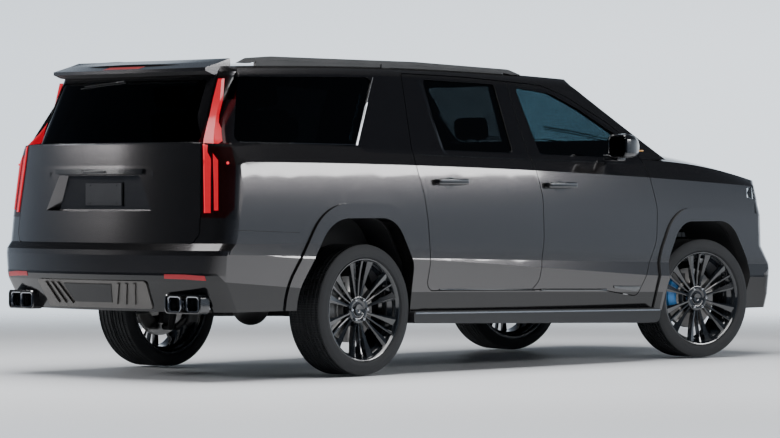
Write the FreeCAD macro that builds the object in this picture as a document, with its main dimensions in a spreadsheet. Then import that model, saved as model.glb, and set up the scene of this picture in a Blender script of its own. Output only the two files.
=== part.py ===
import FreeCAD, Part
import Sketcher

import math
import os

from FreeCAD import Placement, Rotation, Vector

# Full-size four-door suv with a body on a ladder frame. +X is forward, +Y is the left side, +Z is up.
# The origin lies on the ground, half way along the length, on the middle plane. Millimetres.

document = FreeCAD.newDocument("suv")
sheet = document.addObject("Spreadsheet::Sheet", "sizes")

SIZES = {
    # Overall layout
    "overall_length": 5790,
    "rear_overhang": 1415,
    "wheelbase": 3407,
    "track": 1740,
    "steer_angle": -12.5,
    # Side of the body, half widths and heights
    "sill_half": 965,
    "sill_bottom": 330,
    "lower_crease_half": 1014,
    "lower_crease_height": 700,
    "lower_crease_fall": 0.025,
    "ridge_rear_height": 8,
    "ridge_front_height": 90,
    "ridge_slope": 0.16,
    "waist_half": 1020,
    "shoulder_half": 1000,
    "shoulder_height": 1320,
    "shoulder_curve": 5.46,
    "belt_half": 930,
    "belt_height": 1438,
    "belt_fall": 0.0206,
    "barrel": 24,
    "cant_half": 760,
    "cant_height": 1872,
    "roof_height": 1958,
    "roof_edge_half": 690,
    "roof_edge_drop": 27,
    "hood_height": 1465,
    # Ends of the body
    "crown_radius": 2630,
    "corner_radius": 170,
    "pillar_corner_radius": 110,
    "corner_step": 6,
    "rear_glass_slope": 0.52,
    "windscreen_slope": 1.6,
    "windscreen_x": 1480,
    "windscreen_z": 1538,
    # Walls and gaps
    "door_thickness": 90,
    "frame_thickness": 60,
    "roof_thickness": 45,
    "gate_thickness": 75,
    "nose_thickness": 110,
    "glass_inset": 8,
    "glass_thickness": 10,
    "panel_gap": 6,
    "door_slant": 0.25,
    # Openings of the body
    "firewall_x": 1390,
    "firewall_thickness": 50,
    "flare_width": 92,
    "flare_height": 14,
    "liner_thickness": 12,
    # Wheels
    "tyre_radius": 412,
    "tyre_width": 285,
    "tread_half": 122,
    "bead_radius": 306,
    "bead_half": 118,
    "rim_wall": 9,
    "spoke_groups": 6,
    "spoke_turn": 15,
    "spoke_rim_width": 58,
    "spoke_root_width": 16,
    "thin_spoke_width": 19,
    "hub_radius": 92,
    "disc_radius": 205,
    "disc_thickness": 34,
    # Underbody
    "shaft_radius": 22,
    "differential_radius": 120,
    "engine_length": 720,
    "engine_width": 600,
    "engine_height": 640,
    "rail_half_spacing": 430,
    "rail_width": 90,
    "rail_height": 150,
    "rail_bottom": 330,
    "kingpin_inset": 70,
    "muffler_length": 360,
    "tip_width": 116,
    # Cabin
    "seat_width": 520,
    "cushion_length": 720,
    "cushion_height": 292,
    "backrest_height": 1050,
    "dashboard_width": 1700,
    "helm_radius": 182,
    "seat_clearance": 0.3,
}

for row, (alias, value) in enumerate(SIZES.items(), start=1):
    sheet.set(f"A{row}", alias)
    sheet.set(f"B{row}", str(value))
    sheet.setAlias(f"B{row}", alias)
document.recompute()


def size(alias):
    """Value of one cell of the sheet."""
    return float(sheet.get(alias))


GAP = size("panel_gap")
SEAT = size("seat_clearance")
REAR_X = -size("overall_length") / 2
REAR_AXLE = REAR_X + size("rear_overhang")
FRONT_AXLE = REAR_AXLE + size("wheelbase")
HALF_TRACK = size("track") / 2
AXLE_HEIGHT = size("tyre_radius")
STEER = size("steer_angle")
SIDES = {"right": -1, "left": 1}
FAR = 3200

ALONG_X = Rotation(Vector(0, 1, 0), 90)
ALONG_Y = Rotation(Vector(1, 0, 0), -90)
nodes = {}


# Document helpers

def feature(name, shape):
    """A sub-part whose shape comes straight from Part's functions."""
    thing = document.addObject("Part::Feature", name)
    thing.Shape = shape
    thing.Label = name
    nodes[name] = thing
    return thing


def primitive(kind, name, place, turn=None, **rules):
    """A Part primitive whose sizes are bound to expressions."""
    thing = document.addObject("Part::" + kind, name)
    for key, rule in rules.items():
        thing.setExpression(key, rule)
    thing.Placement = Placement(Vector(*place), turn or Rotation())
    return thing


def combined(kind, name, **links):
    """A node made of other objects by a Part operation."""
    thing = document.addObject("Part::" + kind, name)
    for key, link in links.items():
        setattr(thing, key, link)
    thing.Label = name
    nodes[name] = thing
    return thing


def sketched(name, plane, corners):
    """A PartDesign body with a closed sketch; two bound distances hold each corner."""
    body = document.addObject("PartDesign::Body", name)
    body.Label = name
    sketch = body.newObject("Sketcher::SketchObject", name + "_outline")
    origin_plane = next(item for item in body.Origin.OriginFeatures if item.Role == plane)
    sketch.AttachmentSupport = [(origin_plane, "")]
    sketch.MapMode = "FlatFace"
    points = [Vector(sheet.evalExpression(x), sheet.evalExpression(y), 0) for x, y in corners]
    count = len(corners)
    for index, point in enumerate(points):
        sketch.addGeometry(Part.LineSegment(point, points[(index + 1) % count]), False)
    for index in range(count):
        sketch.addConstraint(Sketcher.Constraint("Coincident", index, 2, (index + 1) % count, 1))
    for index, (point, rules) in enumerate(zip(points, corners)):
        for way, value, rule in (("DistanceX", point.x, rules[0]), ("DistanceY", point.y, rules[1])):
            held = sketch.addConstraint(Sketcher.Constraint(way, -1, 1, index, 1, value))
            sketch.setExpression(f"Constraints[{held}]", rule)
    return body, sketch


def padded_body(name, corners, width, place):
    """A body padded to both sides of its sketch in the XZ plane."""
    body, sketch = sketched(name, "XZ_Plane", corners)
    pad = body.newObject("PartDesign::Pad", name + "_pad")
    pad.Profile = sketch
    pad.setExpression("Length", width)
    pad.Midplane = True
    body.Placement = place
    return body


def turned_body(name, corners, place):
    """A body turned about the Y axis from a sketch in the XY plane."""
    body, sketch = sketched(name, "XY_Plane", corners)
    turn = body.newObject("PartDesign::Revolution", name + "_turn")
    turn.Profile = sketch
    turn.ReferenceAxis = (sketch, ["V_Axis"])
    turn.Angle = 360
    body.Placement = place
    return body


def solids_of(shape, least=1000.0):
    """The solids of a shape, without slivers under least cubic millimetres."""
    kept = [solid for solid in shape.Solids if solid.Volume > least]
    return Part.makeCompound(kept) if len(kept) != 1 else kept[0]


def mirrored(shape):
    return shape.mirror(Vector(0, 0, 0), Vector(0, 1, 0))


def both_sides(shape):
    return Part.makeCompound([*shape.Solids, *mirrored(shape).Solids])


def box(low, high):
    """A box between two opposite corners."""
    return Part.makeBox(high[0] - low[0], high[1] - low[1], high[2] - low[2], Vector(*low))


def rod(start, end, radius):
    """A round bar between two points."""
    along = Vector(*end) - Vector(*start)
    return Part.makeCylinder(radius, along.Length, Vector(*start), along)


def tube_run(points, radius):
    """Round bars from point to point, with a ball at each bend."""
    pieces = [rod(a, b, radius) for a, b in zip(points, points[1:])]
    balls = [Part.makeSphere(radius, Vector(*p)) for p in points[1:-1]]
    return pieces[0].multiFuse(pieces[1:] + balls) if len(pieces) > 1 else pieces[0]


def rounded_wire(corners, place):
    """Closed wire through corners (u, v, radius), each corner rounded; place maps (u, v) to a point."""
    count = len(corners)
    starts, ends, middles = [], [], []
    for index, (u, v, radius) in enumerate(corners):
        here = Vector(u, v, 0)
        before = Vector(*corners[index - 1][:2], 0) - here
        after = Vector(*corners[(index + 1) % count][:2], 0) - here
        half_turn = before.getAngle(after) / 2
        reach = 0.0
        if radius:
            reach = min(radius / math.tan(half_turn), 0.45 * before.Length, 0.45 * after.Length)
        before.normalize()
        after.normalize()
        starts.append(here + before * reach)
        ends.append(here + after * reach)
        bisector = before + after
        if reach and bisector.Length > 1e-6:
            bisector.normalize()
            true_radius = reach * math.tan(half_turn)
            middles.append(here + bisector * (true_radius / math.sin(half_turn) - true_radius))
        else:
            middles.append(None)
    edges = []
    for index in range(count):
        if middles[index] is not None:
            arc = Part.Arc(place(starts[index]), place(middles[index]), place(ends[index]))
            edges.append(arc.toShape())
        following = starts[(index + 1) % count]
        if (following - ends[index]).Length > 1e-3:
            edges.append(Part.makeLine(place(ends[index]), place(following)))
    return Part.Wire(edges)


def grown(wire, amount):
    """Face inside a flat wire, grown or shrunk by an amount."""
    face = Part.Face(wire)
    return face.makeOffset2D(amount) if amount else face


# Formulas of the body's side: heights and half widths at a station x

def barrel(x):
    return -size("barrel") * ((x + 100) / 2700) ** 2


def shoulder_z(x):
    return size("shoulder_height") - size("shoulder_curve") * ((x + 2580) / 1000) ** 2


def lower_crease_z(x):
    return size("lower_crease_height") - size("lower_crease_fall") * x


def ridge_drop(x):
    """How far the lower ridge of the doors lies under their crease; it grows towards the front."""
    share = min(max((x + 884) / 2241, 0), 1)
    return size("ridge_rear_height") + share * (size("ridge_front_height") - size("ridge_rear_height"))


def belt_z(x):
    nose = max(x - 1400, 0)
    return size("belt_height") - size("belt_fall") * (x + 2580) - 82 * (nose / 1000) ** 2


def hood_z(x):
    nose = max(x - 1500, 0)
    return size("hood_height") - 120 * (nose / 1000) ** 2


def cant_z(x):
    return size("cant_height") - 19.2 * ((x + 1200) / 1000) ** 2


def roof_z(x):
    return size("roof_height") - 13 * ((x + 900) / 1000) ** 2


def side_half(x, z):
    """Half width of the outer skin at a station and height."""
    knots = [
        (size("sill_bottom"), size("sill_half") + barrel(x)),
        (lower_crease_z(x) - ridge_drop(x), size("lower_crease_half") + barrel(x) + size("ridge_slope") * ridge_drop(x)),
        (lower_crease_z(x), size("lower_crease_half") + barrel(x)),
        (0.5 * (lower_crease_z(x) + shoulder_z(x)), size("waist_half") + barrel(x)),
        (shoulder_z(x), size("shoulder_half") + barrel(x)),
        (belt_z(x), size("belt_half") + barrel(x)),
        (cant_z(x), size("cant_half")),
        (roof_z(x) - size("roof_edge_drop"), size("roof_edge_half")),
    ]
    if z <= knots[0][0]:
        return knots[0][1]
    for (z0, y0), (z1, y1) in zip(knots, knots[1:]):
        if z <= z1:
            return y0 + (y1 - y0) * (z - z0) / (z1 - z0)
    return knots[-1][1]


# Solids that make the body: two lofts along the length and two lofts up the height

def lower_section(x, inset, bottom, drop):
    """Cross-section of the lower body; inset moves the sides in and drop lowers the hood."""
    sill = size("sill_half") + barrel(x) - inset
    crease = size("lower_crease_half") + barrel(x) - inset
    waist = size("waist_half") + barrel(x) - inset
    shoulder = size("shoulder_half") + barrel(x) - inset
    belt = size("belt_half") + barrel(x) - inset
    crease_height = lower_crease_z(x)
    ridge_height = crease_height - ridge_drop(x)
    ridge = crease + size("ridge_slope") * ridge_drop(x)
    shoulder_height = shoulder_z(x) - 0.3 * drop
    belt_height = belt_z(x) - drop
    waist_height = 0.5 * (crease_height + shoulder_height)
    top = hood_z(x) - drop

    def half(sign):
        low = Part.makeLine(Vector(x, sign * sill, bottom), Vector(x, sign * ridge, ridge_height))
        step = Part.makeLine(Vector(x, sign * ridge, ridge_height), Vector(x, sign * crease, crease_height))
        door = Part.Arc(Vector(x, sign * crease, crease_height), Vector(x, sign * waist, waist_height),
                        Vector(x, sign * shoulder, shoulder_height)).toShape()
        shelf = Part.makeLine(Vector(x, sign * shoulder, shoulder_height), Vector(x, sign * belt, belt_height))
        return [low, step, door, shelf]

    crown = Part.Arc(Vector(x, -belt, belt_height), Vector(x, 0, top), Vector(x, belt, belt_height)).toShape()
    base = Part.makeLine(Vector(x, sill, bottom), Vector(x, -sill, bottom))
    return Part.Wire([*half(-1), crown, *reversed(half(1)), base])


def upper_section(x, inset, drop):
    """Cross-section of the cabin above the belt."""
    belt_height = belt_z(min(x, 1400)) - 60
    lean = (size("belt_half") - size("cant_half")) / (cant_z(x) - belt_z(min(x, 1400)))
    foot = size("belt_half") + barrel(x) + 60 * lean - inset - 3
    cant = size("cant_half") - inset
    cant_height = cant_z(x) - 0.6 * drop
    edge = size("roof_edge_half") - 0.8 * inset
    edge_height = roof_z(x) - size("roof_edge_drop") - drop
    bulge_half = edge + 0.62 * (cant - edge)
    bulge_height = cant_height + 0.58 * (edge_height - cant_height)

    def half(sign):
        pane = Part.makeLine(Vector(x, sign * foot, belt_height), Vector(x, sign * cant, cant_height))
        bend = Part.Arc(Vector(x, sign * cant, cant_height), Vector(x, sign * bulge_half, bulge_height),
                        Vector(x, sign * edge, edge_height)).toShape()
        return [pane, bend]

    top = roof_z(x) - drop
    crown = Part.Arc(Vector(x, -edge, edge_height), Vector(x, 0, top), Vector(x, edge, edge_height)).toShape()
    base = Part.makeLine(Vector(x, foot, belt_height), Vector(x, -foot, belt_height))
    return Part.Wire([*half(-1), crown, *reversed(half(1)), base])


def lower_loft(inset=0.0, bottom=None, drop=0.0, stations=None):
    stations = stations or (-3000, -2200, -1500, -700, 100, 900, 1400, 1800, 2200, 2600, 3000)
    bottom = size("sill_bottom") if bottom is None else bottom
    return Part.makeLoft([lower_section(x, inset, bottom, drop) for x in stations], True, False)


def upper_loft(inset=0.0, drop=0.0):
    stations = (-2950, -2200, -1400, -600, 200, 1000, 1900)
    return Part.makeLoft([upper_section(x, inset, drop) for x in stations], True, False)


def plan_wire(z, rear, rear_half, rear_corner, front, front_half, front_corner):
    """Plan outline at one height: crowned ends with round corners, and sides out past the skin."""
    radius = size("crown_radius")
    wide = 1300

    def end(direction, tip, half, corner):
        crown_y = (half - corner) / (1 - corner / radius)
        lean = math.asin(crown_y / radius)
        inset = radius - math.sqrt(radius ** 2 - crown_y ** 2)
        crown_x = tip - direction * inset
        centre = Vector(crown_x - direction * corner * math.cos(lean), half - corner, z)
        turn = 0.5 * (lean + math.pi / 2)
        middle = centre + Vector(direction * math.cos(turn), math.sin(turn), 0) * corner
        side = centre + Vector(0, corner, 0)
        crown_end = Vector(crown_x, crown_y, z)
        return crown_end, middle, side

    def flip(point):
        return Vector(point.x, -point.y, point.z)

    rear_end, rear_middle, rear_side = end(-1, rear, rear_half, rear_corner)
    front_end, front_middle, front_side = end(1, front, front_half, front_corner)
    rear_wide = Vector(rear_side.x, wide, z)
    front_wide = Vector(front_side.x, wide, z)
    edges = [
        Part.Arc(flip(rear_end), Vector(rear, 0, z), rear_end).toShape(),
        Part.Arc(rear_end, rear_middle, rear_side).toShape(),
        Part.makeLine(rear_side, rear_wide),
        Part.makeLine(rear_wide, front_wide),
        Part.makeLine(front_wide, front_side),
        Part.Arc(front_side, front_middle, front_end).toShape(),
        Part.Arc(front_end, Vector(front, 0, z), flip(front_end)).toShape(),
        Part.Arc(flip(front_end), flip(front_middle), flip(front_side)).toShape(),
        Part.makeLine(flip(front_side), flip(front_wide)),
        Part.makeLine(flip(front_wide), flip(rear_wide)),
        Part.makeLine(flip(rear_wide), flip(rear_side)),
        Part.Arc(flip(rear_side), flip(rear_middle), flip(rear_end)).toShape(),
    ]
    return Part.Wire(edges)


# Height, how far the tail stands ahead of the rear end, how far the nose stands behind the front end
LOWER_PROFILE = [
    (60, 150, 90),
    (330, 130, 12),
    (430, 105, 4),
    (604, 10, 2),
    (640, 2, 4),
    (760, 0, 95),
    (790, 4, 98),
    (832, 38, 100),
    (975, 57, 105),
    (1238, 90, 122),
    (1300, 98, 140),
    (1433, 112, 200),
    (1520, 174, 260),
]


def lower_plan(inset_rear=0.0, inset_front=0.0, inset_side=0.0):
    """Solid with the outline of tail and nose, for the body below the belt."""
    wires = []
    for z, tail, nose in LOWER_PROFILE:
        rear_half = side_half(-2500, z) + size("corner_step") - inset_side
        front_half = side_half(2450, min(z, belt_z(2450))) + size("corner_step") - inset_side
        wires.append(plan_wire(z, REAR_X + tail + inset_rear, rear_half, size("corner_radius"),
                               -REAR_X - nose - inset_front, front_half, size("corner_radius")))
    return Part.makeLoft(wires, True, True)


def upper_plan(inset_rear=0.0, inset_front=0.0, inset_side=0.0):
    """Solid with the outline of rear glass and windscreen, for the cabin above the belt."""
    glass_foot = REAR_X + 113.5
    wires = []
    for z in (1360, 1433, 1870, 2010):
        rear = glass_foot + size("rear_glass_slope") * (z - 1433)
        rear = rear if z > 1400 else glass_foot + 12
        front = size("windscreen_x") - size("windscreen_slope") * (z - size("windscreen_z"))
        rear_half = min(side_half(-2450, z), side_half(-2450, 1870)) + size("corner_step")
        front_half = min(side_half(1000, z), side_half(1000, 1870)) + size("corner_step")
        wires.append(plan_wire(z, rear + inset_rear, rear_half - inset_side, size("corner_radius"),
                               front - inset_front, front_half - inset_side, size("pillar_corner_radius")))
    return Part.makeLoft(wires, True, True)


lower_body = lower_loft().common(lower_plan())
upper_body = upper_loft().common(upper_plan())
cabin_low = lower_loft(size("door_thickness"), 60, 0, (-3000, -2200, -1500, -700, 100, 900, size("firewall_x")))
cabin_low = cabin_low.common(lower_plan(size("gate_thickness"), 0, size("door_thickness")))
cabin_high = upper_loft(size("frame_thickness"), size("roof_thickness"))
cabin_high = cabin_high.common(upper_plan(size("gate_thickness") - 6, 95, size("frame_thickness")))
cabin_high = cabin_high.common(box((-FAR, -1200, 0), (1560, 1200, 2200)))
bay_start = size("firewall_x") + size("firewall_thickness")
engine_bay = lower_loft(70, 60, 42, (bay_start, 1500, 1800, 2200, 2600, 3000))
engine_bay = engine_bay.common(lower_plan(0, size("nose_thickness"), 70))

FRONT_ARCH = [(1470, 200, 0), (1490, 690, 300), (1620, 940, 200), (2180, 940, 240), (2395, 640, 200), (2372, 200, 0)]
REAR_ARCH = [(-1052, 200, 0), (-1048, 690, 150), (-1225, 979, 220), (-1790, 979, 260), (-2050, 540, 300),
             (-2060, 200, 0)]


def arch_prism(corners, growth=0.0, inner=0.0, outer_y=1200.0):
    """Straight prism of a wheel arch on the right side between two distances from the middle."""
    wire = rounded_wire(corners, lambda p: Vector(p.x, -inner, p.y))
    return grown(wire, growth).extrude(Vector(0, inner - outer_y, 0))


wide_loft = lower_loft(-size("flare_height"), 342, -size("flare_height"))
flares = [wide_loft.common(arch_prism(arch, size("flare_width"), 950)) for arch in (FRONT_ARCH, REAR_ARCH)]
outer = lower_body.fuse([upper_body, *flares, *[mirrored(flare) for flare in flares]])
shell = outer.cut([cabin_low.fuse(cabin_high), engine_bay])

inner_skin = upper_loft(size("glass_inset"), size("glass_inset"))
inner_skin = inner_skin.common(upper_plan(size("glass_inset"), 12, size("glass_inset")))
pane_back = size("glass_inset") + size("glass_thickness")
glass_back = upper_loft(pane_back, pane_back).common(upper_plan(pane_back, 12 + 1.8 * size("glass_thickness"), pane_back))
glass_layer = inner_skin.cut(glass_back)



# Outlines in side view on the right side, as corners (x, z, corner radius) lying on the skin

SHUT_LINE = [(104, 507, 0), (164, 561, 60), (199, 822, 500), (192, 1113, 300), (141, 1287, 60), (147, 1377, 60),
             (124, 1864, 12)]
FRONT_DOOR = SHUT_LINE + [(470, 1846, 120), (700, 1778, 400), (1060, 1608, 400), (1262, 1478, 120),
                          (1316, 1330, 60), (1321, 1240, 60), (1381, 1037, 200), (1370, 811, 200),
                          (1191, 440, 60), (794, 493, 0)]
REAR_DOOR = SHUT_LINE[::-1] + [(-430, 517, 0), (-905, 517, 60), (-886, 703, 300), (-920, 973, 300),
                               (-945, 1119, 100), (-1007, 1310, 40), (-978, 1377, 40), (-880, 1893, 20),
                               (-300, 1884, 0)]
SILL_LIFT = 8
FRONT_PANE = [(268, belt_z(268) + SILL_LIFT, 25), (1168, belt_z(1168) + SILL_LIFT, 25), (1112, 1532, 60),
              (823, 1685, 400), (560, 1792, 300), (198, 1826, 25)]
REAR_PANE = [(0, belt_z(0) + SILL_LIFT, 25), (-4, 1842, 25), (-697, 1858, 25), (-690, belt_z(-690) + SILL_LIFT, 25)]
QUARTER_PANE = [(-1462, belt_z(-1462) + SILL_LIFT, 30), (-1158, 1862, 30), (-2346, 1840, 40),
                (-2520, belt_z(-2520) + SILL_LIFT, 30)]


def side_prism(corners, growth=0.0, slant=None, reach=1200.0):
    """Right-side prism through a side-view outline; its slanted edges let a door swing out."""
    slant = size("door_slant") if slant is None else slant
    shifted = [(x + slant * side_half(x, z), z, radius) for x, z, radius in corners]
    wire = rounded_wire(shifted, lambda p: Vector(p.x, 0, p.y))
    return grown(wire, growth).extrude(Vector(-slant * reach, -reach, 0))


def gate_prism(growth=0.0, front=-2315.0, bottom=815.0, top=2100.0):
    """Prism of the tailgate seen from behind; it narrows inboard so that the gate swings clear."""
    taper = 0.25
    skin = [(738, bottom, -2770), (786, 836, -2750), (818, 885, -2722), (816, 1010, -2705), (779, 1425, -2667),
            (706, 1603, -2531), (690, 1835, -2450), (684, top, -2400)]
    wires = []
    for x in (-3100.0, front + growth):
        right = [Vector(x, -(y + growth - taper * (x - at)), z - (growth if index == 0 else 0))
                 for index, (y, z, at) in enumerate(skin)]
        left = [Vector(p.x, -p.y, p.z) for p in reversed(right)]
        wires.append(Part.makePolygon([*right, *left, right[0]]))
    return Part.makeLoft(wires, True, True)


def rear_view_prism(corners, growth=0.0, start=-3100.0, length=1100.0):
    """Prism along X through an outline given as corners (y, z, radius) of one half, finished by symmetry."""
    whole = corners + [(-y, z, radius) for y, z, radius in reversed(corners)]
    wire = rounded_wire(whole, lambda p: Vector(start, p.x, p.y))
    return grown(wire, growth).extrude(Vector(length, 0, 0))


BACK_PANE = [(728, 1440, 30), (668, 1603, 200), (650, 1820, 30)]
WINDSCREEN = [(772, 1496, 30), (640, 1872, 60)]

gap_in, gap_out = -GAP / 2, GAP / 2
right_half = box((-FAR, -1300, 0), (FAR, 0, 2200))
shell_right = shell.common(right_half)

front_door_hole = side_prism(FRONT_DOOR, gap_out)
rear_door_hole = side_prism(REAR_DOOR, gap_out)
quarter_hole = side_prism(QUARTER_PANE, slant=0.0)
bumper_zone = [(2372, 60, 0), (2372, 720, 0), (2440, 930, 0), (2540, 1075, 0), (3100, 1075, 0), (3100, 60, 0)]
lamp_zone = [(2392, 1102, 0), (2400, 1168, 0), (2560, 1190, 0), (3100, 1190, 0), (3100, 1078, 0), (2541, 1078, 0)]


def side_band(corners, growth=0.0):
    """Prism right across the car through a side-view outline."""
    wire = rounded_wire(corners, lambda p: Vector(p.x, -1300, p.y))
    return grown(wire, growth).extrude(Vector(0, 2600, 0))


def hood_prism(growth=0.0):
    half = 846 + growth
    rear = 1648 - growth
    corner = Vector(2560 + growth, half, 1186)
    bow = Part.Arc(Vector(corner.x, -half, 1186), Vector(2738 + growth, 0, 1186), corner).toShape()
    edges = [bow, Part.makeLine(corner, Vector(rear, half, 1186)),
             Part.makeLine(Vector(rear, half, 1186), Vector(rear, -half, 1186)),
             Part.makeLine(Vector(rear, -half, 1186), Vector(corner.x, -half, 1186))]
    return Part.Face(Part.Wire(edges)).extrude(Vector(0, 0, 500))


gate_hole = gate_prism(gap_out)
hood_hole = hood_prism(gap_out)
bumper_cut = side_band(bumper_zone, 0)
lamp_cut = side_band(lamp_zone, 0)
front_arch = arch_prism(FRONT_ARCH)
rear_arch = arch_prism(REAR_ARCH)

# Body side with pillars, sill and quarter panel

lamp_split, lamp_top = 1380, 1838
lamp_strip = gate_prism(gap_out + 52).cut(gate_hole).common(box((-FAR, -1300, lamp_split), (0, 1300, lamp_top)))
lamp_side = [(-3100, 985, 0), (-2640, 985, 0), (-2588, 1040, 0), (-2560, 1330, 0), (-2548, 1412, 0), (-3100, 1412, 0)]
lamp_housing = side_band(lamp_side).cut(gate_hole)
lamp_volume = lamp_strip.fuse(lamp_housing)
rear_bumper_zone = box((-FAR, -1300, 0), (-1900, 1300, 829))
roof_front = 1000
side_zone = box((-FAR, -1300, 0), (1420, -850, 2200)).fuse([
    box((-FAR, -1300, 829), (-2000, -500, 1900)), box((-FAR, -1300, 1340), (1500, -660, 2200))])
windscreen_hole = rear_view_prism(WINDSCREEN, 0, 300, 1700)

side = shell_right.common(side_zone).cut(gate_hole)
side = side.cut([lamp_volume, rear_bumper_zone]).cut([front_door_hole, rear_door_hole, quarter_hole, rear_arch])
side = side.cut([windscreen_hole, box((-2315, -657 - SEAT, 1700), (roof_front + 400, 0, 2200)),
                 box((1150, -1300, 430), (1700, 0, 1378 + SEAT)), front_arch, box((1384 - SEAT, -1300, 0), (1700, 0, 2200))])
body_side = solids_of(side, 5e5)
feature("body_side_right", body_side)
feature("body_side_left", mirrored(body_side))

# Roof, windscreen and firewall

roof = shell.common(box((-2312, -657, 1780), (roof_front, 657, 2200))).cut(windscreen_hole).cut(gate_hole)
feature("roof_panel", solids_of(roof, 5e5))
windscreen_pane = rear_view_prism(WINDSCREEN, -SEAT, 300, 1700)
feature("windscreen", solids_of(glass_layer.common(windscreen_pane).common(box((500, -1000, 1300), (2000, 1000, 2000)))))
cowl_half = 851 - SEAT
cowl = shell.common(box((1384, -cowl_half, 520 + SEAT), (1645, cowl_half, 1600))).cut(windscreen_hole).cut(hood_hole)
firewall_zone = box((1300, -1300, 0), (1700, 0, 1378))
door_swing = front_door_hole.common(box((1300, -1300, 0), (1700, -663, 2200)))
door_swing = door_swing.cut(lower_loft(size("door_thickness") + GAP, 60).common(firewall_zone))
cowl = cowl.cut([door_swing, mirrored(door_swing)])
cowl = cowl.cut(arch_prism(FRONT_ARCH, 12)).cut(mirrored(arch_prism(FRONT_ARCH, 12)))
feature("firewall", solids_of(cowl, 5e5))

# Front end

fender = shell_right.common(box((1150, -1300, 200), (2800, -560, 1600)))
fender = fender.cut([front_door_hole, hood_hole, bumper_cut, lamp_cut, front_arch,
                     box((1100, -851, 0), (1651, 0, 1600)), box((1100, -1300, 1378), (1384, 0, 1500)),
                     box((1100, -1300, 0), (1384, 0, 430 + SEAT)),
                     box((2560, -600, 0), (3000, 0, 1500)), windscreen_hole])
fender = solids_of(fender, 5e5)
feature("front_fenders", both_sides(fender))
bumper = shell.common(bumper_cut).cut(box((2500, -560 - SEAT, 621 - SEAT), (3000, 560 + SEAT, 1200)))
for tool in (front_arch, mirrored(front_arch)):
    bumper = bumper.cut(tool)
feature("front_bumper", solids_of(bumper, 5e5))
head_lamp = shell.common(side_band(lamp_zone, -1.0)).common(box((2300, -1300, 900), (3000, -566, 1300))).cut(hood_hole)
feature("head_lamps", both_sides(solids_of(head_lamp, 1e4)))
grille = shell.common(box((2500, -560, 621), (3000, 560, 1183))).cut(hood_hole)
slat_count = 9
slat_pitch = 56
for index in range(slat_count):
    low = 650 + index * slat_pitch
    grille = grille.cut(box((2400, -530, low), (3100, 530, low + 34)))
feature("grille", solids_of(grille, 1e5))
feature("hood", solids_of(shell.common(hood_prism(gap_in)), 5e5))

# Tail end

bumper = shell.common(rear_bumper_zone)
tip_window = box((-FAR, -862, 0), (-2500, -602, 528))
bumper = bumper.cut([rear_arch, mirrored(rear_arch), box((-FAR, -1300, 0), (-1500, 1300, 420)), tip_window,
                     mirrored(tip_window)])
feature("rear_bumper", solids_of(bumper, 5e5))
lamps = shell_right.common(lamp_volume)
feature("tail_lamps", both_sides(solids_of(lamps, 1e5)))
back_hole = rear_view_prism(BACK_PANE)
gate = shell.common(gate_prism(gap_in, bottom=815 + 2 * GAP))
gate = gate.cut(back_hole.common(box((-FAR, -1000, 0), (-2380, 1000, 1838))))
recess_floor = -2733
recess_back = box((-2765, -468, 1005), (recess_floor + 22, 468, 1262))
recess_mouth = [Vector(-2905, y, z) for y, z in ((-612, 1012), (612, 1012), (452, 1246), (-452, 1246))]
recess_end = [Vector(recess_floor, y, z) for y, z in ((-408, 1034), (408, 1034), (330, 1240), (-330, 1240))]
recess = Part.makeLoft([Part.makePolygon([*ring, ring[0]]) for ring in (recess_mouth, recess_end)], True, True)
plate = box((recess_floor - 8, -168, 1052), (recess_floor + 1, 168, 1200))
gate = gate.fuse(recess_back).cut(recess).fuse(plate)
feature("tailgate", solids_of(gate, 5e5))
gate_face = lower_plan(-SEAT)
bar = lower_plan(-16).common(box((-FAR, -392, 1250), (-2700, 392, 1280))).cut(gate_face)
feature("gate_handle", solids_of(bar, 1e4))
skid = lower_plan(-12).common(rear_view_prism([(462, 436, 20), (490, 604, 20)])).cut(gate_face)
feature("rear_skid_plate", solids_of(skid, 1e4))
back_pane = rear_view_prism(BACK_PANE, -SEAT)
feature("tailgate_glass", solids_of(glass_layer.common(back_pane).common(box((-FAR, -1000, 1300), (-2380, 1000, 1838)))))
spoiler_sections = []
for y, tail_x, lift in ((-686, -2541, 0), (0, -2627, -6), (686, -2541, 0)):
    spoiler_side = [(-2330, 1944 + 8, 0), (tail_x + 140, 1930 + lift, 0), (tail_x, 1892 + lift, 0),
                    (tail_x, 1872 + lift, 0), (tail_x + 60, 1852 + lift, 0), (tail_x + 150, 1846, 0), (-2330, 1880, 0)]
    points = [Vector(x, y, z) for x, z, radius in spoiler_side]
    spoiler_sections.append(Part.makePolygon([*points, points[0]]))
spoiler = Part.makeLoft(spoiler_sections, True, False).cut(outer)
feature("roof_spoiler", solids_of(spoiler, 5e5))
side_glass = glass_layer.common(box((-FAR, -1300, 1300), (FAR, -655, 2000)))
quarter_pane = side_glass.common(side_prism(QUARTER_PANE, -SEAT, 0.0)).cut([gate_hole, lamp_volume])
feature("quarter_glass", both_sides(solids_of(quarter_pane)))

# Doors

firewall_side = lower_loft(size("door_thickness"), 60).common(box((size("firewall_x"), -1300, 0), (1700, 0, 1700)))
door_inboard = box((-FAR, -663, 0), (FAR, 100, 2200))
for name, outline, pane in (("front_door", FRONT_DOOR, FRONT_PANE), ("rear_door", REAR_DOOR, REAR_PANE)):
    panel = shell_right.common(side_prism(outline, gap_in)).cut([side_prism(pane), door_inboard, firewall_side])
    panel = solids_of(panel, 5e5)
    glass = solids_of(side_glass.common(side_prism(pane, -SEAT)))
    feature(name + "_right", panel)
    feature(name + "_left", mirrored(panel))
    feature(name + "_glass_right", glass)
    feature(name + "_glass_left", mirrored(glass))


# Posts between the doors, inboard of them

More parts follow.
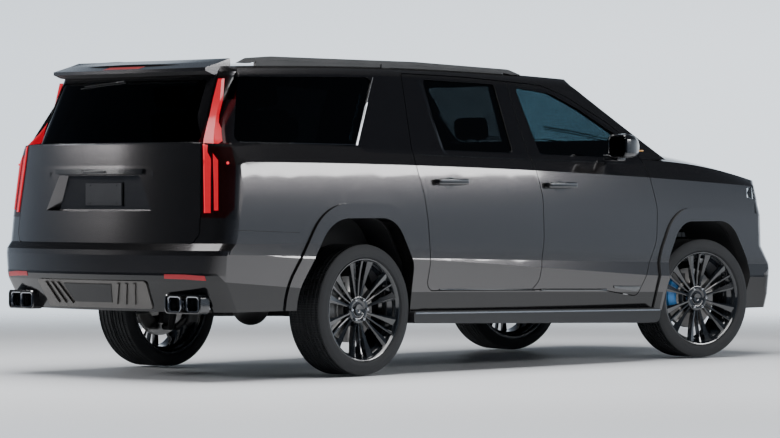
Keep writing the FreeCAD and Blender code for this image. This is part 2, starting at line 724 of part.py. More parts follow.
post_clearance = 22
post_outline = [(side_half(150, z) - wall - post_clearance, z) for z, wall in
                ((560, 90), (1300, 90), (1440, 66), (1868, 60))]
post_outline = [(post_outline[0][0], 520 + SEAT), *post_outline, (600, 1925), (640, 1840),
                (post_outline[2][0] - 42, 1440), (post_outline[1][0] - 46, 1300), (post_outline[0][0] - 50, 520 + SEAT)]
post = Part.Face(Part.makePolygon([Vector(60, -y, z) for y, z in [*post_outline, post_outline[0]]]))
post = post.extrude(Vector(140, 0, 0))
post = post.common(upper_loft(size("frame_thickness") + SEAT, size("roof_thickness") + SEAT).fuse(
    box((0, -1000, 500), (300, 0, 1500))))
feature("centre_pillars", both_sides(solids_of(post)))

# Roof rails and running boards

rail_profile = [(-2270, 1925, 0), (-2190, 1958, 60), (-2000, 1972, 300), (-700, 1972, 300), (200, 1946, 200),
                (330, 1912, 0)]
rail_outline = rail_profile + [(240, 1912, 0), (170, 1920, 0), (-700, 1949, 0), (-2000, 1949, 0), (-2130, 1937, 0),
                               (-2180, 1925, 0)]
rail_wire = rounded_wire(rail_outline, lambda p: Vector(p.x, -702, p.y))
rail = Part.Face(rail_wire).extrude(Vector(0, 36, 0))
rail = rail.fuse(box((-1010, -702, 1920), (-930, -666, 1955)))
rail = rail.cut(outer)
feature("roof_rails", both_sides(solids_of(rail)))

board_wire = rounded_wire([(-1060, 318, 20), (-1060, 392, 20), (1396, 356, 20), (1380, 262, 60), (1180, 262, 60)],
                          lambda p: Vector(p.x, -1030, p.y))
board = Part.Face(board_wire).extrude(Vector(0, 150, 0)).cut(outer)
feature("running_boards", both_sides(solids_of(board)))

# Wheelhouses, floor and frame

def arch_liner(corners, inner, outer_y):
    wall = size("liner_thickness")
    ring = arch_prism(corners, wall, inner, outer_y).cut(arch_prism(corners, 0, inner - 10, outer_y + 10))
    return ring.common(box((-FAR, -1300, 430), (FAR, 0, 1200)))


rear_liner = arch_liner(REAR_ARCH, 690, 905)
rear_back = arch_prism(REAR_ARCH, size("liner_thickness"), 678, 690).common(box((-FAR, -1300, 430), (0, 0, 1200)))
rear_liner = rear_liner.fuse(rear_back).cut(box((-1590, -1000, 400), (-1370, 0, 650)))
inside_walls = lower_loft(size("door_thickness") + 2, 60)
rear_liner = rear_liner.common(inside_walls)
front_liner = arch_liner(FRONT_ARCH, 560, 925).common(engine_bay)
# The steered tyre passes below the foot of the front liner's rear wall.
front_liner = front_liner.cut(box((1400, -1000, 400), (1560, 0, 560)))
feature("wheel_liners", Part.makeCompound([*both_sides(rear_liner).Solids, *both_sides(front_liner).Solids]))

floor_line = [(-2740, 700, 0), (-1150, 700, 0), (-1000, 520, 0), (1389.7, 520, 0), (1389.7, 490, 0), (-1015, 490, 0),
              (-1165, 670, 0), (-2740, 670, 0)]
floor_wire = rounded_wire(floor_line, lambda p: Vector(p.x, -884, p.y))
floor = Part.Face(floor_wire).extrude(Vector(0, 1768, 0))
floor = floor.cut([arch_prism(REAR_ARCH, 13, 600), mirrored(arch_prism(REAR_ARCH, 13, 600))]).common(cabin_low)
feature("floor_pan", solids_of(floor))

half_gauge = size("rail_half_spacing")
half_rail = size("rail_width") / 2
low_rail = size("rail_bottom")
rail_top = low_rail + size("rail_height")
frame_wire = rounded_wire([(-2670, 430, 0), (-2670, 489, 0), (-1950, 489, 60), (-1750, 640, 200), (-1250, 640, 200),
                           (-1000, rail_top, 60), (1450, rail_top, 60), (1640, 600, 200), (2250, 600, 200),
                           (2450, 560, 0), (2640, 560, 0), (2640, 450, 0), (2250, 470, 200), (1650, 450, 200),
                           (1450, low_rail, 60), (-1000, low_rail, 60), (-1250, 500, 200), (-1750, 500, 200),
                           (-1950, 430, 60)], lambda p: Vector(p.x, -half_gauge - half_rail, p.y))
rail_bar = Part.Face(frame_wire).extrude(Vector(0, 2 * half_rail, 0))
cross_members = [box((x - 45, -half_gauge, low), (x + 45, half_gauge, low + height)) for x, low, height in
                 ((-2600, 435, 50), (-1960, 440, 49), (-900, 330, 45), (0, 330, 45), (900, 330, 45),
                  (1400, 330, 45), (2500, 470, 90))]
frame = rail_bar.multiFuse([mirrored(rail_bar), *cross_members])
outriggers = [box((x - 30, -940, 400), (x + 30, -half_gauge, 480)).common(inside_walls)
              for x in (-850, -200, 500, 1100)]
outriggers.append(box((1800, -half_gauge, 490), (1900, -300 - SEAT, 560)))
frame = frame.multiFuse([*outriggers, *[mirrored(arm) for arm in outriggers]])
frame = frame.common(box((-FAR, -1300, 0), (FAR, 1300, 489)).fuse([
    box((-2000, -500, 0), (-960, 500, 700)), box((1440, -500, 0), (3000, 500, 700))]))
# The side rails are spliced behind and ahead of the straight middle section.
for splice in (-980, 1452):
    frame = frame.cut(box((splice, -600, 300), (splice + SEAT, 600, 700)))
feature("ladder_frame", solids_of(frame))

# Axles and knuckles

KINGPIN_INSET = size("kingpin_inset")
KINGPIN_Y = HALF_TRACK - KINGPIN_INSET
LUG = 125


def wishbone(axle, spread, frame_height, ball_height, radius):
    """V-shaped arm of the right side from the frame rail to the knuckle's ball."""
    root = -half_gauge - half_rail
    joint = (axle, -KINGPIN_Y, ball_height)
    elbow = -KINGPIN_Y + 92
    legs = [tube_run([(axle + way * spread, root + 10, frame_height), (axle + way * 30, elbow, ball_height), joint],
                     radius) for way in (-1, 1)]
    return legs[0].fuse(legs[1]).common(box((-FAR, -1300, 0), (FAR, root - SEAT, FAR)))


arms = []
for axle, low_root, high_root in ((REAR_AXLE, 530, 600), (FRONT_AXLE, 480, 560)):
    low_arm = wishbone(axle, 190, low_root, AXLE_HEIGHT - LUG - 22 - SEAT, 22)
    high_arm = wishbone(axle, 150, high_root, AXLE_HEIGHT + LUG + 18 + SEAT, 18)
    strut = rod((axle + 66, -610, 300), (axle + 66, -560, 640), 38).fuse(
        rod((axle + 62, -650, 285), (axle + 66, -590, 330), 24))
    strut = strut.cut(high_arm)
    arms += [solids_of(low_arm.fuse(strut), 1e5), high_arm]
feature("suspension_arms", both_sides(Part.makeCompound(arms)))

shaft_end = HALF_TRACK - 110 - SEAT


prop_start = Vector(REAR_AXLE, 0, AXLE_HEIGHT)
prop_end = Vector(700 - 2, 0, 437)
prop_turn = Rotation(Vector(0, 0, 1), prop_end - prop_start)
combined("MultiFuse", "drive_line", Shapes=[
    primitive("Sphere", "differential", prop_start, None, Radius="sizes.differential_radius"),
    primitive("Cylinder", "half_shafts", (REAR_AXLE, -shaft_end, AXLE_HEIGHT), ALONG_Y,
              Radius="sizes.shaft_radius", Height="sizes.track - 220 - 2 * sizes.seat_clearance"),
    primitive("Box", "axle_carrier", (REAR_AXLE - 60, -200, AXLE_HEIGHT), None, Length="120", Width="400",
              Height="88"),
    primitive("Cylinder", "propeller_shaft", prop_start, prop_turn, Radius="sizes.shaft_radius + 8",
              Height=f"{(prop_end - prop_start).Length:.3f}")])
combined("MultiFuse", "engine_block", Shapes=[
    primitive("Box", "crankcase", (1560, -300, 480), None, Length="sizes.engine_length",
              Width="sizes.engine_width", Height="sizes.engine_height"),
    primitive("Box", "gearbox", (700, -110, 375 + SEAT), None, Length="900", Width="220", Height="108")])


def knuckle():
    """Upright with its brake caliper, about the wheel's centre, outboard along +Y."""
    upright = rod((0, -110, 0), (0, -50, 0), 62).fuse(box((-34, -95, -LUG), (34, -52, LUG)))
    stub = rod((0, -60, 0), (0, -36 - SEAT, 0), 34)
    pads = Part.makeCylinder(250, 86, Vector(0, -64, 0), Vector(0, 1, 0)).cut(
        Part.makeCylinder(138, 86, Vector(0, -64, 0), Vector(0, 1, 0)))
    pads = pads.common(box((-260, -70, -60), (-60, 30, 170)))
    caliper = pads.cut(Part.makeCylinder(size("disc_radius") + 6, 46, Vector(0, -42, 0), Vector(0, 1, 0)))
    bracket = box((-170, -84, -10), (-30, -56, 60))
    return upright.multiFuse([stub, caliper, bracket])


def revolved(profile):
    """Ring about the Y axis from corners (y, radius)."""
    points = [Vector(radius, y, 0) for y, radius in profile]
    return Part.Face(Part.makePolygon([*points, points[0]])).revolve(Vector(0, 0, 0), Vector(0, 1, 0), 360)


def tyre_outline():
    """Corners (radius, y) of half a tyre's section, then of the other half."""
    right = [("sizes.bead_radius", "sizes.bead_half"), ("sizes.bead_radius + 39", "sizes.tyre_width / 2"),
             ("sizes.tyre_radius - 24", "sizes.tyre_width / 2 - 5"), ("sizes.tyre_radius", "sizes.tread_half - 9")]
    return [*right, *[(radius, f"-({y})") for radius, y in reversed(right)]]


def wheel():
    """Rim with hub, spokes and the brake disc that turns with it."""
    bead, half, wall = size("bead_radius") - SEAT, size("bead_half"), size("rim_wall")
    lip = half + 13
    outer_side = [(60, bead - 26), (85, bead), (half + 0.2, bead), (lip, bead + 20.5)]
    inner_side = [(lip, bead + 7), (half - 6, bead - wall), (90, bead - wall), (63, bead - 26 - wall)]
    rim = revolved([*[(-y, r) for y, r in reversed(outer_side)], *outer_side, *inner_side,
                    *[(-y, r) for y, r in reversed(inner_side)]])
    hub = rod((0, 28, 0), (0, 84, 0), size("hub_radius"))
    hat = rod((0, -2, 0), (0, 30, 0), 86)
    disc = rod((0, -36, 0), (0, -36 + size("disc_thickness"), 0), size("disc_radius"))
    cap = rod((0, 84, 0), (0, 92, 0), 36)
    root, rim_width, thin = size("spoke_root_width"), size("spoke_rim_width"), size("thin_spoke_width")
    flared = [(66, root, 46, 80), (150, root + 3, 52, 85), (301, rim_width, 92, 118)]
    slim = [(66, 10, 46, 79), (301, thin, 94, 116)]
    blades = []
    for group in range(int(size("spoke_groups"))):
        for sections, turn in ((flared, -1), (slim, 0), (flared, 1)):
            rings = [Part.makePolygon([Vector(r, back, -w / 2), Vector(r, front, -w / 2), Vector(r, front, w / 2),
                                       Vector(r, back, w / 2), Vector(r, back, -w / 2)])
                     for r, w, back, front in sections]
            blade = Part.makeLoft(rings, True, True)
            angle = 90 + group * 360 / size("spoke_groups") + turn * size("spoke_turn")
            blade.rotate(Vector(0, 0, 0), Vector(0, 1, 0), angle)
            blades.append(blade)
    return rim.multiFuse([hub, hat, disc, cap, *blades])


def station(shape, axle, side, steer=0.0):
    """Places a wheel part on its axle, on one side, turned about the kingpin."""
    placed = shape.copy() if side == "left" else mirrored(shape)
    placed.translate(Vector(axle, SIDES[side] * HALF_TRACK, AXLE_HEIGHT))
    placed.rotate(Vector(axle, SIDES[side] * KINGPIN_Y, 0), Vector(0, 0, 1), steer)
    return placed


the_knuckle, the_wheel = knuckle(), wheel()
feature("rear_knuckles", Part.makeCompound([station(the_knuckle, REAR_AXLE, side) for side in SIDES]))
for side in SIDES:
    feature("steering_knuckle_" + side, station(the_knuckle, FRONT_AXLE, side, STEER))
    for end, axle, steer in (("front", FRONT_AXLE, STEER), ("rear", REAR_AXLE, 0.0)):
        feature(f"{end}_wheel_{side}", station(the_wheel, axle, side, steer))
        pivot = Placement(Vector(axle, SIDES[side] * KINGPIN_Y, 0), Rotation(Vector(0, 0, 1), steer))
        offset = Placement(Vector(0, SIDES[side] * KINGPIN_INSET, AXLE_HEIGHT), Rotation())
        tyre_name = f"{end}_tyre_{side}"
        nodes[tyre_name] = turned_body(tyre_name, tyre_outline(), pivot.multiply(offset))

# Mirrors

back = Part.makePolygon([Vector(836, y, z) for y, z in
                         ((-1012, 1352), (-1200, 1362), (-1204, 1532), (-1020, 1538), (-1012, 1352))])
front = Part.makePolygon([Vector(1064, y, z) for y, z in
                          ((-1030, 1372), (-1150, 1380), (-1152, 1470), (-1034, 1474), (-1030, 1372))])
housing = Part.makeLoft([back, front], True, True)
housing = housing.makeFillet(22, housing.Edges)
stalk = box((950, -1075, 1290), (1040, -948, 1385)).cut(outer)
mirror = housing.fuse(solids_of(stalk))
feature("mirror_right", solids_of(mirror))
feature("mirror_left", mirrored(solids_of(mirror)))

# Cabin

seat_outline = [("250", "0"), ("sizes.cushion_length - 60", "0"), ("sizes.cushion_length - 30", "170"),
                ("sizes.cushion_length", "sizes.cushion_height - 12"), ("260", "sizes.cushion_height"),
                ("120", "sizes.backrest_height - 190"), ("95", "sizes.backrest_height"),
                ("5", "sizes.backrest_height - 5"), ("0", "sizes.backrest_height - 210"), ("130", "220"),
                ("250", "170")]


def seat(name, x, y, width, lift=0):
    """A seat standing on the floor, its back at x, its middle at y."""
    return padded_body(name, seat_outline, width, Placement(Vector(x, y, 520 + SEAT + lift), Rotation()))


combined("Compound", "front_seats", Links=[
    seat("driver_seat", 140, 400, "sizes.seat_width"), seat("passenger_seat", 140, -400, "sizes.seat_width")])
combined("Compound", "middle_seats", Links=[
    seat("middle_seat_left", -830, 400, "sizes.seat_width"), seat("middle_seat_right", -830, -400, "sizes.seat_width")])
nodes["rear_seats"] = seat("rear_seats", -1830, 0, "1200", 180)
dash_outline = [("90", "0"), ("10", "160"), ("0", "360"), ("40", "520"), ("170", "590"),
                ("sizes.firewall_x - 1070 - sizes.seat_clearance", "600"),
                ("sizes.firewall_x - 1070 - sizes.seat_clearance", "60")]
nodes["dashboard"] = padded_body("dashboard", dash_outline, "sizes.dashboard_width",
                                 Placement(Vector(1070, 0, 700), Rotation()))
helm = document.addObject("Part::MultiFuse", "wheel_and_column")
helm.Shapes = [
    primitive("Torus", "wheel_ring", (0, 0, 0), None, Radius1="sizes.helm_radius", Radius2="15"),
    primitive("Cylinder", "wheel_boss", (0, 0, -30), None, Radius="46", Height="42"),
    primitive("Cylinder", "wheel_bar", (0, -size("helm_radius"), 0), ALONG_Y, Radius="13",
              Height="2 * sizes.helm_radius"),
    primitive("Cylinder", "wheel_spoke", (-size("helm_radius"), 0, 0), ALONG_X, Radius="13",
              Height="sizes.helm_radius"),
    primitive("Cylinder", "steering_column", (0, 0, -230), None, Radius="26", Height="230")]
helm.Placement = Placement(Vector(905, 400, 1110), Rotation(Vector(0, 1, 0), -66))
combined("Cut", "steering_wheel", Base=helm, Tool=nodes["dashboard"])

# Exhaust

pipes = []
for side, way in SIDES.items():
    muffler_y = -800 if way < 0 else 500
    pipes.append(primitive("Box", "muffler_" + side, (-2480, muffler_y, 430), None, Length="sizes.muffler_length",
                           Width="300", Height="130"))
    hanger_y = -510 if way < 0 else half_gauge + half_rail + SEAT
    pipes.append(primitive("Box", "hanger_" + side, (-2330, hanger_y, 445), None, Length="60",
                           Width="510 - sizes.rail_half_spacing - sizes.rail_width / 2 - sizes.seat_clearance",
                           Height="30"))
    for place, tip_y, pipe_y in (("inner", 668, 668), ("outer", 793, 760)):
        tip_x = -2800 + (tip_y - 600) * 0.25
        tip = primitive("Box", f"{place}_tip_{side}", (tip_x, way * tip_y - 58, 420), None,
                        Length=f"{-2600 - tip_x:.2f}", Width="sizes.tip_width", Height="98")
        bore = primitive("Box", f"{place}_bore_{side}", (-3000, way * tip_y - 50, 428), None, Length="360",
                         Width="sizes.tip_width - 16", Height="82")
        hollow_tip = document.addObject("Part::Cut", f"{place}_hollow_tip_{side}")
        hollow_tip.Base = tip
        hollow_tip.Tool = bore
        start = Vector(-2641, way * tip_y, 470)
        end = Vector(-2470, way * pipe_y, 480)
        pipes += [hollow_tip, primitive("Cylinder", f"{place}_pipe_{side}", start,
                                        Rotation(Vector(0, 0, 1), end - start), Radius="28",
                                        Height=f"{(end - start).Length:.3f}")]
combined("MultiFuse", "exhaust", Shapes=pipes)

document.recompute()
broken = [thing.Label for thing in document.Objects if {"Invalid", "Error"} & set(thing.State)]
broken += [thing.Label for thing in nodes.values() if thing.Shape.isNull() or not thing.Shape.isValid()]
if broken:
    raise RuntimeError("bad objects: " + ", ".join(broken))
os.makedirs("parts", exist_ok=True)
for name, thing in nodes.items():
    thing.Shape.exportStep("parts/" + name + ".step")
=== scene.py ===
import math
from functools import cache

import bmesh
import bpy
from bpy.props import FloatProperty, FloatVectorProperty, IntProperty, PointerProperty
from mathutils import Matrix, Vector
from mathutils.bvhtree import BVHTree


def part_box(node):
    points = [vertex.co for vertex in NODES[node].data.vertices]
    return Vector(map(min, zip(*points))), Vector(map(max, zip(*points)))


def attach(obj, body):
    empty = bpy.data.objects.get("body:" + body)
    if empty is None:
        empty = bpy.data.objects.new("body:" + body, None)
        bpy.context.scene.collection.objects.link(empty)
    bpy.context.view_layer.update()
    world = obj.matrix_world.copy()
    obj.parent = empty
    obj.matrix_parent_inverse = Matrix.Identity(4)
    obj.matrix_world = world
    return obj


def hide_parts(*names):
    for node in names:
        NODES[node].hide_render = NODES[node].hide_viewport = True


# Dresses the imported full-size suv: finishes for its solids, and detailed pieces that ride on its bodies.
# Metres; +X is forward, +Y is the left side, +Z is up, and the car stands on z = 0.

bl_info = {
    "name": "Full-size suv dresser",
    "version": (1, 0, 0),
    "blender": (4, 5, 0),
    "location": "3D View > Sidebar > Suv",
    "description": "Builds the wheels, lamps, trim, cabin and finishes of a full-size suv around its solids",
    "category": "Object",
}

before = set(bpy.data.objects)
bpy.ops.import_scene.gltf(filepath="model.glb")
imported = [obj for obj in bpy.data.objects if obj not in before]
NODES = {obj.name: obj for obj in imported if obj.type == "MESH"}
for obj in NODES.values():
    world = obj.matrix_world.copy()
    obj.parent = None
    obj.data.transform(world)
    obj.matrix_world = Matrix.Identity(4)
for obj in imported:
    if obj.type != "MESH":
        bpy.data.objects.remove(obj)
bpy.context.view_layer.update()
SIDES = {"right": -1, "left": 1}

TYRE_LOW, TYRE_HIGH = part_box("rear_tyre_right")
REAR_AXLE = (TYRE_LOW.x + TYRE_HIGH.x) / 2
HALF_TRACK = -(TYRE_LOW.y + TYRE_HIGH.y) / 2
TYRE_RADIUS = (TYRE_HIGH.z - TYRE_LOW.z) / 2
WHEELBASE = 3.407
FRONT_AXLE = REAR_AXLE + WHEELBASE
KINGPIN_INSET = 0.07
KINGPIN_Y = HALF_TRACK - KINGPIN_INSET
STEER = math.radians(-12.5)


# Shader maths

class Link:
    """A value in a node tree; an expression on it adds the nodes that work it out."""

    def __init__(self, graph, socket):
        self.graph = graph
        self.socket = socket

    def _math(self, operation, *values):
        return self.graph.node("ShaderNodeMath", {"operation": operation}, dict(enumerate(values)))

    def __add__(self, other):
        return self._math("ADD", self, other)

    def __radd__(self, other):
        return self._math("ADD", other, self)

    def __sub__(self, other):
        return self._math("SUBTRACT", self, other)

    def __rsub__(self, other):
        return self._math("SUBTRACT", other, self)

    def __mul__(self, other):
        return self._math("MULTIPLY", self, other)

    def __rmul__(self, other):
        return self._math("MULTIPLY", other, self)

    def __gt__(self, other):
        return self._math("GREATER_THAN", self, other)

    def __lt__(self, other):
        return self._math("LESS_THAN", self, other)

    def __abs__(self):
        return self._math("ABSOLUTE", self)


class Graph:
    """A node tree under construction."""

    def __init__(self, tree):
        self.tree = tree

    def node(self, kind, settings=None, sockets=None, output=0):
        """Adds a node: its settings first, then the values or links of its sockets."""
        made = self.tree.nodes.new(kind)
        for key, value in (settings or {}).items():
            if key == "stops":
                self.set_stops(made.color_ramp, value)
            else:
                setattr(made, key, value)
        for key, value in (sockets or {}).items():
            self.feed(made.inputs[key], value)
        return Link(self, made.outputs[output])

    @staticmethod
    def set_stops(ramp, stops):
        """Gives a colour ramp its (position, colour) stops."""
        while len(ramp.elements) < len(stops):
            ramp.elements.new(0.5)
        for element, (position, colour) in zip(ramp.elements, stops):
            element.position = position
            element.color = (*colour, 1.0)

    def feed(self, socket, value):
        """Links a value to a socket, or sets a number or a colour on it."""
        if isinstance(value, Link):
            self.tree.links.new(value.socket, socket)
        elif hasattr(value, "__len__") and len(value) == 3 and socket.type == "RGBA":
            socket.default_value = (*value, 1.0)
        else:
            socket.default_value = value

    def vectors(self, operation, first, second, output=0):
        """Vector maths on two vectors."""
        return self.node("ShaderNodeVectorMath", {"operation": operation}, {0: first, 1: second},
                         output=output)


class Finish(Graph):
    """One material under construction, with a Principled shader on its output."""

    def __init__(self, name):
        self.material = bpy.data.materials.new(name)
        self.material.use_nodes = True
        super().__init__(self.material.node_tree)
        self.shader = self.tree.nodes["Principled BSDF"]

    def surface(self, **sockets):
        """Sets the shader's own sockets, a name's underscores standing for spaces, and gives the material."""
        for key, value in sockets.items():
            self.feed(self.shader.inputs[key.replace("_", " ")], value)
        return self.material

    def place(self):
        """Where a point of the surface lies."""
        return self.node("ShaderNodeTexCoord", output="Object")

    def axis(self, name):
        """One coordinate of a point of the surface."""
        return self.node("ShaderNodeSeparateXYZ", None, {"Vector": self.place()}, output=name)

    def noise(self, scale, detail, vector=None):
        """Noise between 0 and 1, with scale cells to a metre."""
        return self.node("ShaderNodeTexNoise", None,
                         {"Vector": vector or self.place(), "Scale": scale, "Detail": detail})

    def blend(self, factor, first, second):
        """Mix of two colours."""
        return self.node("ShaderNodeMix", {"data_type": "RGBA"}, {"Factor": factor, 6: first, 7: second},
                         output=2)

    def bump(self, height, strength, distance):
        """Normal of a surface that a height raises by up to distance."""
        return self.node("ShaderNodeBump", None,
                         {"Height": height, "Strength": strength, "Distance": distance})

    def smallest(self, first, *others):
        """Smallest of several values."""
        for other in others:
            first = self.node("ShaderNodeMath", {"operation": "MINIMUM"}, {0: first, 1: other})
        return first

    def largest(self, first, *others):
        """Largest of several values."""
        for other in others:
            first = self.node("ShaderNodeMath", {"operation": "MAXIMUM"}, {0: first, 1: other})
        return first


def scaled(colour, factor):
    """A colour made darker or lighter."""
    return tuple(channel * factor for channel in colour)


# Finishes

CABIN_MIDDLE = (0.0, 0.0, 1.0)
LENGTH_SHARE = (0.34, 1.0, 1.0)
INWARD_LIMIT = -0.10
BLACK_ENAMEL = (0.006, 0.006, 0.007)
LINING = (0.022, 0.022, 0.023)

# Edges of the gloss-black zones, seen from the side: each a slope, a station and the height there
BELT = (-0.0206, -1.398, 1.388)
QUARTER_FOOT = (-0.0206, -2.58, 1.446)
QUARTER_FRONT = (-0.587, -1.461, 1.425)
DOOR_HEAD_REAR = (-0.0972, 0.2, 1.845)
DOOR_HEAD_FRONT = (-0.389, 0.56, 1.812)
WINDSCREEN_PILLAR = (-0.533, 0.83, 1.708)
VALANCE = (-1.04, -2.70, 0.655)
REAR_SILL = ((-0.056, -2.65, 0.603), (-0.075, -2.448, 0.589), (-0.074, -2.248, 0.573))
DOOR_FOOT = (-0.0197, -0.773, 0.508)

# The window band's upper edge is a shallow arch: its top's station and height, and how fast it falls
ARCH_TOP_X, ARCH_TOP, ARCH_FALL = -1.2, 1.873, 0.0192
BAND_INNER_Y, BAND_FRONT_X = 0.56, 1.32
VALANCE_FRONT_X, VALANCE_TOP = -2.60, 0.655
REAR_CLADDING_FRONT_X = -1.78
DOORS_REAR_X, DOORS_FRONT_X = -1.2, 1.45
FRONT_CLADDING_X, FRONT_CLADDING_TOP = 2.2, 0.56
GATE_GLASS_X, GATE_GLASS_FOOT, GATE_GLASS_TOP = -2.3, 1.434, 1.832


def looks():
    """Colours and finishes of the whole car."""
    return bpy.context.scene.suv_looks


def edge_height(x, edge):
    """Height of an edge of a zone at station x."""
    slope, station, height = edge
    return height + (x - station) * slope


def inner_face(finish):
    """1 on faces that are turned to the cabin or the engine, 0 on the outer skin."""
    normal = finish.node("ShaderNodeNewGeometry", output="Normal")
    flattened = finish.vectors("MULTIPLY", finish.place(), LENGTH_SHARE)
    outward = finish.vectors("SUBTRACT", flattened, CABIN_MIDDLE)
    return finish.vectors("DOT_PRODUCT", outward, normal, "Value") < INWARD_LIMIT


def black_zones(finish):
    """1 on the gloss-black window band, the gate's glass and the lower cladding."""
    x, y, z = finish.axis("X"), abs(finish.axis("Y")), finish.axis("Z")
    foot = finish.largest(edge_height(x, BELT),
                          finish.smallest(edge_height(x, QUARTER_FOOT), edge_height(x, QUARTER_FRONT)))
    from_top = x - ARCH_TOP_X
    head = finish.smallest(ARCH_TOP - from_top * from_top * ARCH_FALL, edge_height(x, DOOR_HEAD_REAR),
                           edge_height(x, DOOR_HEAD_FRONT), edge_height(x, WINDSCREEN_PILLAR))
    band = (z > foot) * (z < head) * (y > BAND_INNER_Y) * (x < BAND_FRONT_X)
    gate_glass = (x < GATE_GLASS_X) * (z > GATE_GLASS_FOOT) * (z < GATE_GLASS_TOP)
    valance = (x < VALANCE_FRONT_X) * (z < edge_height(x, VALANCE)) * (z < VALANCE_TOP)
    sill = finish.smallest(*(edge_height(x, edge) for edge in REAR_SILL))
    rear_cladding = (x < REAR_CLADDING_FRONT_X) * (z < sill)
    doors = (z < edge_height(x, DOOR_FOOT)) * (x > DOORS_REAR_X) * (x < DOORS_FRONT_X)
    front_cladding = (x > FRONT_CLADDING_X) * (z < FRONT_CLADDING_TOP)
    return finish.largest(band, gate_glass, valance, rear_cladding, doors, front_cladding)


@cache
def paint():
    """Metallic paint under clear coat, gloss black round the windows and below, dark lining inside."""
    finish = Finish("gunmetal_paint")
    flakes = finish.noise(2400.0, 1.0)
    clouds = finish.noise(1.6, 2.0)
    inner = inner_face(finish)
    black = black_zones(finish)
    outer = (1.0 - inner) * (1.0 - black)
    bright = 1.0 + (flakes - 0.5) * 0.30 + (clouds - 0.5) * 0.08
    tint = finish.node("ShaderNodeVectorMath", {"operation": "SCALE"},
                       {0: tuple(looks().paint), "Scale": bright})
    grain = finish.noise(420.0, 3.0)
    cloth = finish.blend(grain, scaled(LINING, 0.6), scaled(LINING, 1.5))
    shown = finish.blend(black, tint, BLACK_ENAMEL)
    peel = finish.noise(150.0, 2.0) * outer * 0.05
    rough = looks().paint_rough + (flakes - 0.5) * 0.08
    return finish.surface(Base_Color=finish.blend(inner, shown, cloth), Metallic=outer * looks().paint_metal,
                          Roughness=outer * rough + black * 0.12 + inner * 0.7, Coat_Weight=outer,
                          Coat_Roughness=0.06, Normal=finish.bump(grain * inner + peel, 0.25, 0.0005))


@cache
def plastic(name, colour, roughness=0.5, grain=380.0, depth=0.25, coat=0.0):
    """Moulded plastic with a fine texture."""
    finish = Finish(name)
    cells = finish.noise(grain, 2.0)
    wear = finish.noise(6.0, 4.0)
    shade = finish.blend(wear, scaled(colour, 0.82), scaled(colour, 1.22))
    return finish.surface(Base_Color=shade, Roughness=roughness + (wear - 0.5) * 0.12, Coat_Weight=coat,
                          Coat_Roughness=0.04, Normal=finish.bump(cells, depth, 0.0006))


@cache
def metal(name, colour, roughness=0.25, brushed=0.0, grain=60.0):
    """Machined, cast or bright metal; brushed stretches its fine lines along X."""
    finish = Finish(name)
    position = finish.vectors("MULTIPLY", finish.place(), (1.0 - 0.97 * brushed, 1.0, 1.0))
    lines = finish.noise(grain * (1 + 14 * brushed), 3.0, position)
    stain = finish.noise(9.0, 3.0)
    shade = finish.blend(stain, scaled(colour, 0.85), scaled(colour, 1.08))
    return finish.surface(Base_Color=shade, Metallic=1.0, Roughness=roughness + (lines - 0.5) * 0.16,
                          Normal=finish.bump(lines, 0.12, 0.0004))


@cache
def rubber(name, colour):
    """Rubber with pores and a little dust."""
    finish = Finish(name)
    dust = finish.noise(14.0, 5.0)
    pores = finish.noise(300.0, 2.0)
    shade = finish.blend(dust, scaled(colour, 0.75), scaled(colour, 1.5))
    return finish.surface(Base_Color=shade, Roughness=0.75 + (dust - 0.5) * 0.16,
                          Normal=finish.bump(pores, 0.3, 0.0005))


@cache
def glass(name, colour):
    """Tinted glass that shows what is behind it as far as its tint lets through."""
    finish = Finish(name)
    haze = finish.noise(4.0, 2.0)
    shade = finish.blend(haze, scaled(colour, 0.94), colour)
    return finish.surface(Base_Color=shade, Roughness=haze * 0.012, IOR=1.5, Transmission_Weight=1.0)


@cache
def lens(name, colour, glow, strength, ribs=0.0):
    """Lamp body that glows, with the fine level steps of its light guide; on the rear reflectors, which are
    no lamps, the glow is a painted glow.
    """
    finish = Finish(name)
    steps = finish.node("ShaderNodeMath", {"operation": "SINE"}, {0: finish.axis("Z") * 900.0})
    shade = finish.blend(steps * 0.5 + 0.5, scaled(glow, 1.0 - ribs), glow)
    return finish.surface(Base_Color=colour, Roughness=0.42, Emission_Color=shade,
                          Emission_Strength=strength, Coat_Weight=0.25, Coat_Roughness=0.05,
                          Normal=finish.bump(steps, 0.15 * ribs, 0.0006))


@cache
def leather(name, colour):
    """Grained leather with a mild sheen."""
    finish = Finish(name)
    cells = finish.node("ShaderNodeTexVoronoi", {"feature": "DISTANCE_TO_EDGE"},
                        {"Vector": finish.place(), "Scale": 260.0})
    tone = finish.noise(5.0, 3.0)
    shade = finish.blend(tone, scaled(colour, 0.8), scaled(colour, 1.25))
    return finish.surface(Base_Color=shade, Roughness=0.48 + (tone - 0.5) * 0.15,
                          Normal=finish.bump(cells, 0.35, 0.0008))


@cache
def carpet(name, colour):
    """Short tufted carpet."""
    finish = Finish(name)
    tufts = finish.noise(700.0, 2.0)
    shade = finish.blend(tufts, scaled(colour, 0.5), scaled(colour, 1.6))
    return finish.surface(Base_Color=shade, Roughness=0.95, Sheen_Weight=0.3,
                          Normal=finish.bump(tufts, 0.8, 0.002))


def gloss_black():
    return plastic("gloss_black_trim", (0.006, 0.0065, 0.008), 0.16, 500.0, 0.03, 1.0)


def satin_black():
    return plastic("satin_black_trim", (0.014, 0.0145, 0.016), 0.42)


def rough_black():
    return plastic("underbody_plastic", (0.011, 0.011, 0.012), 0.72, 240.0, 0.5)


def bright_trim():
    return metal("bright_trim", (0.36, 0.37, 0.39), 0.18, 0.3)


def dark_trim():
    return metal("dark_trim", (0.16, 0.165, 0.17), 0.25, 0.4)


def skid_metal():
    return metal("skid_metal", (0.13, 0.125, 0.12), 0.42, 0.2)


def seat_leather():
    return leather("seat_leather", (0.045, 0.043, 0.042))


# Mesh tools

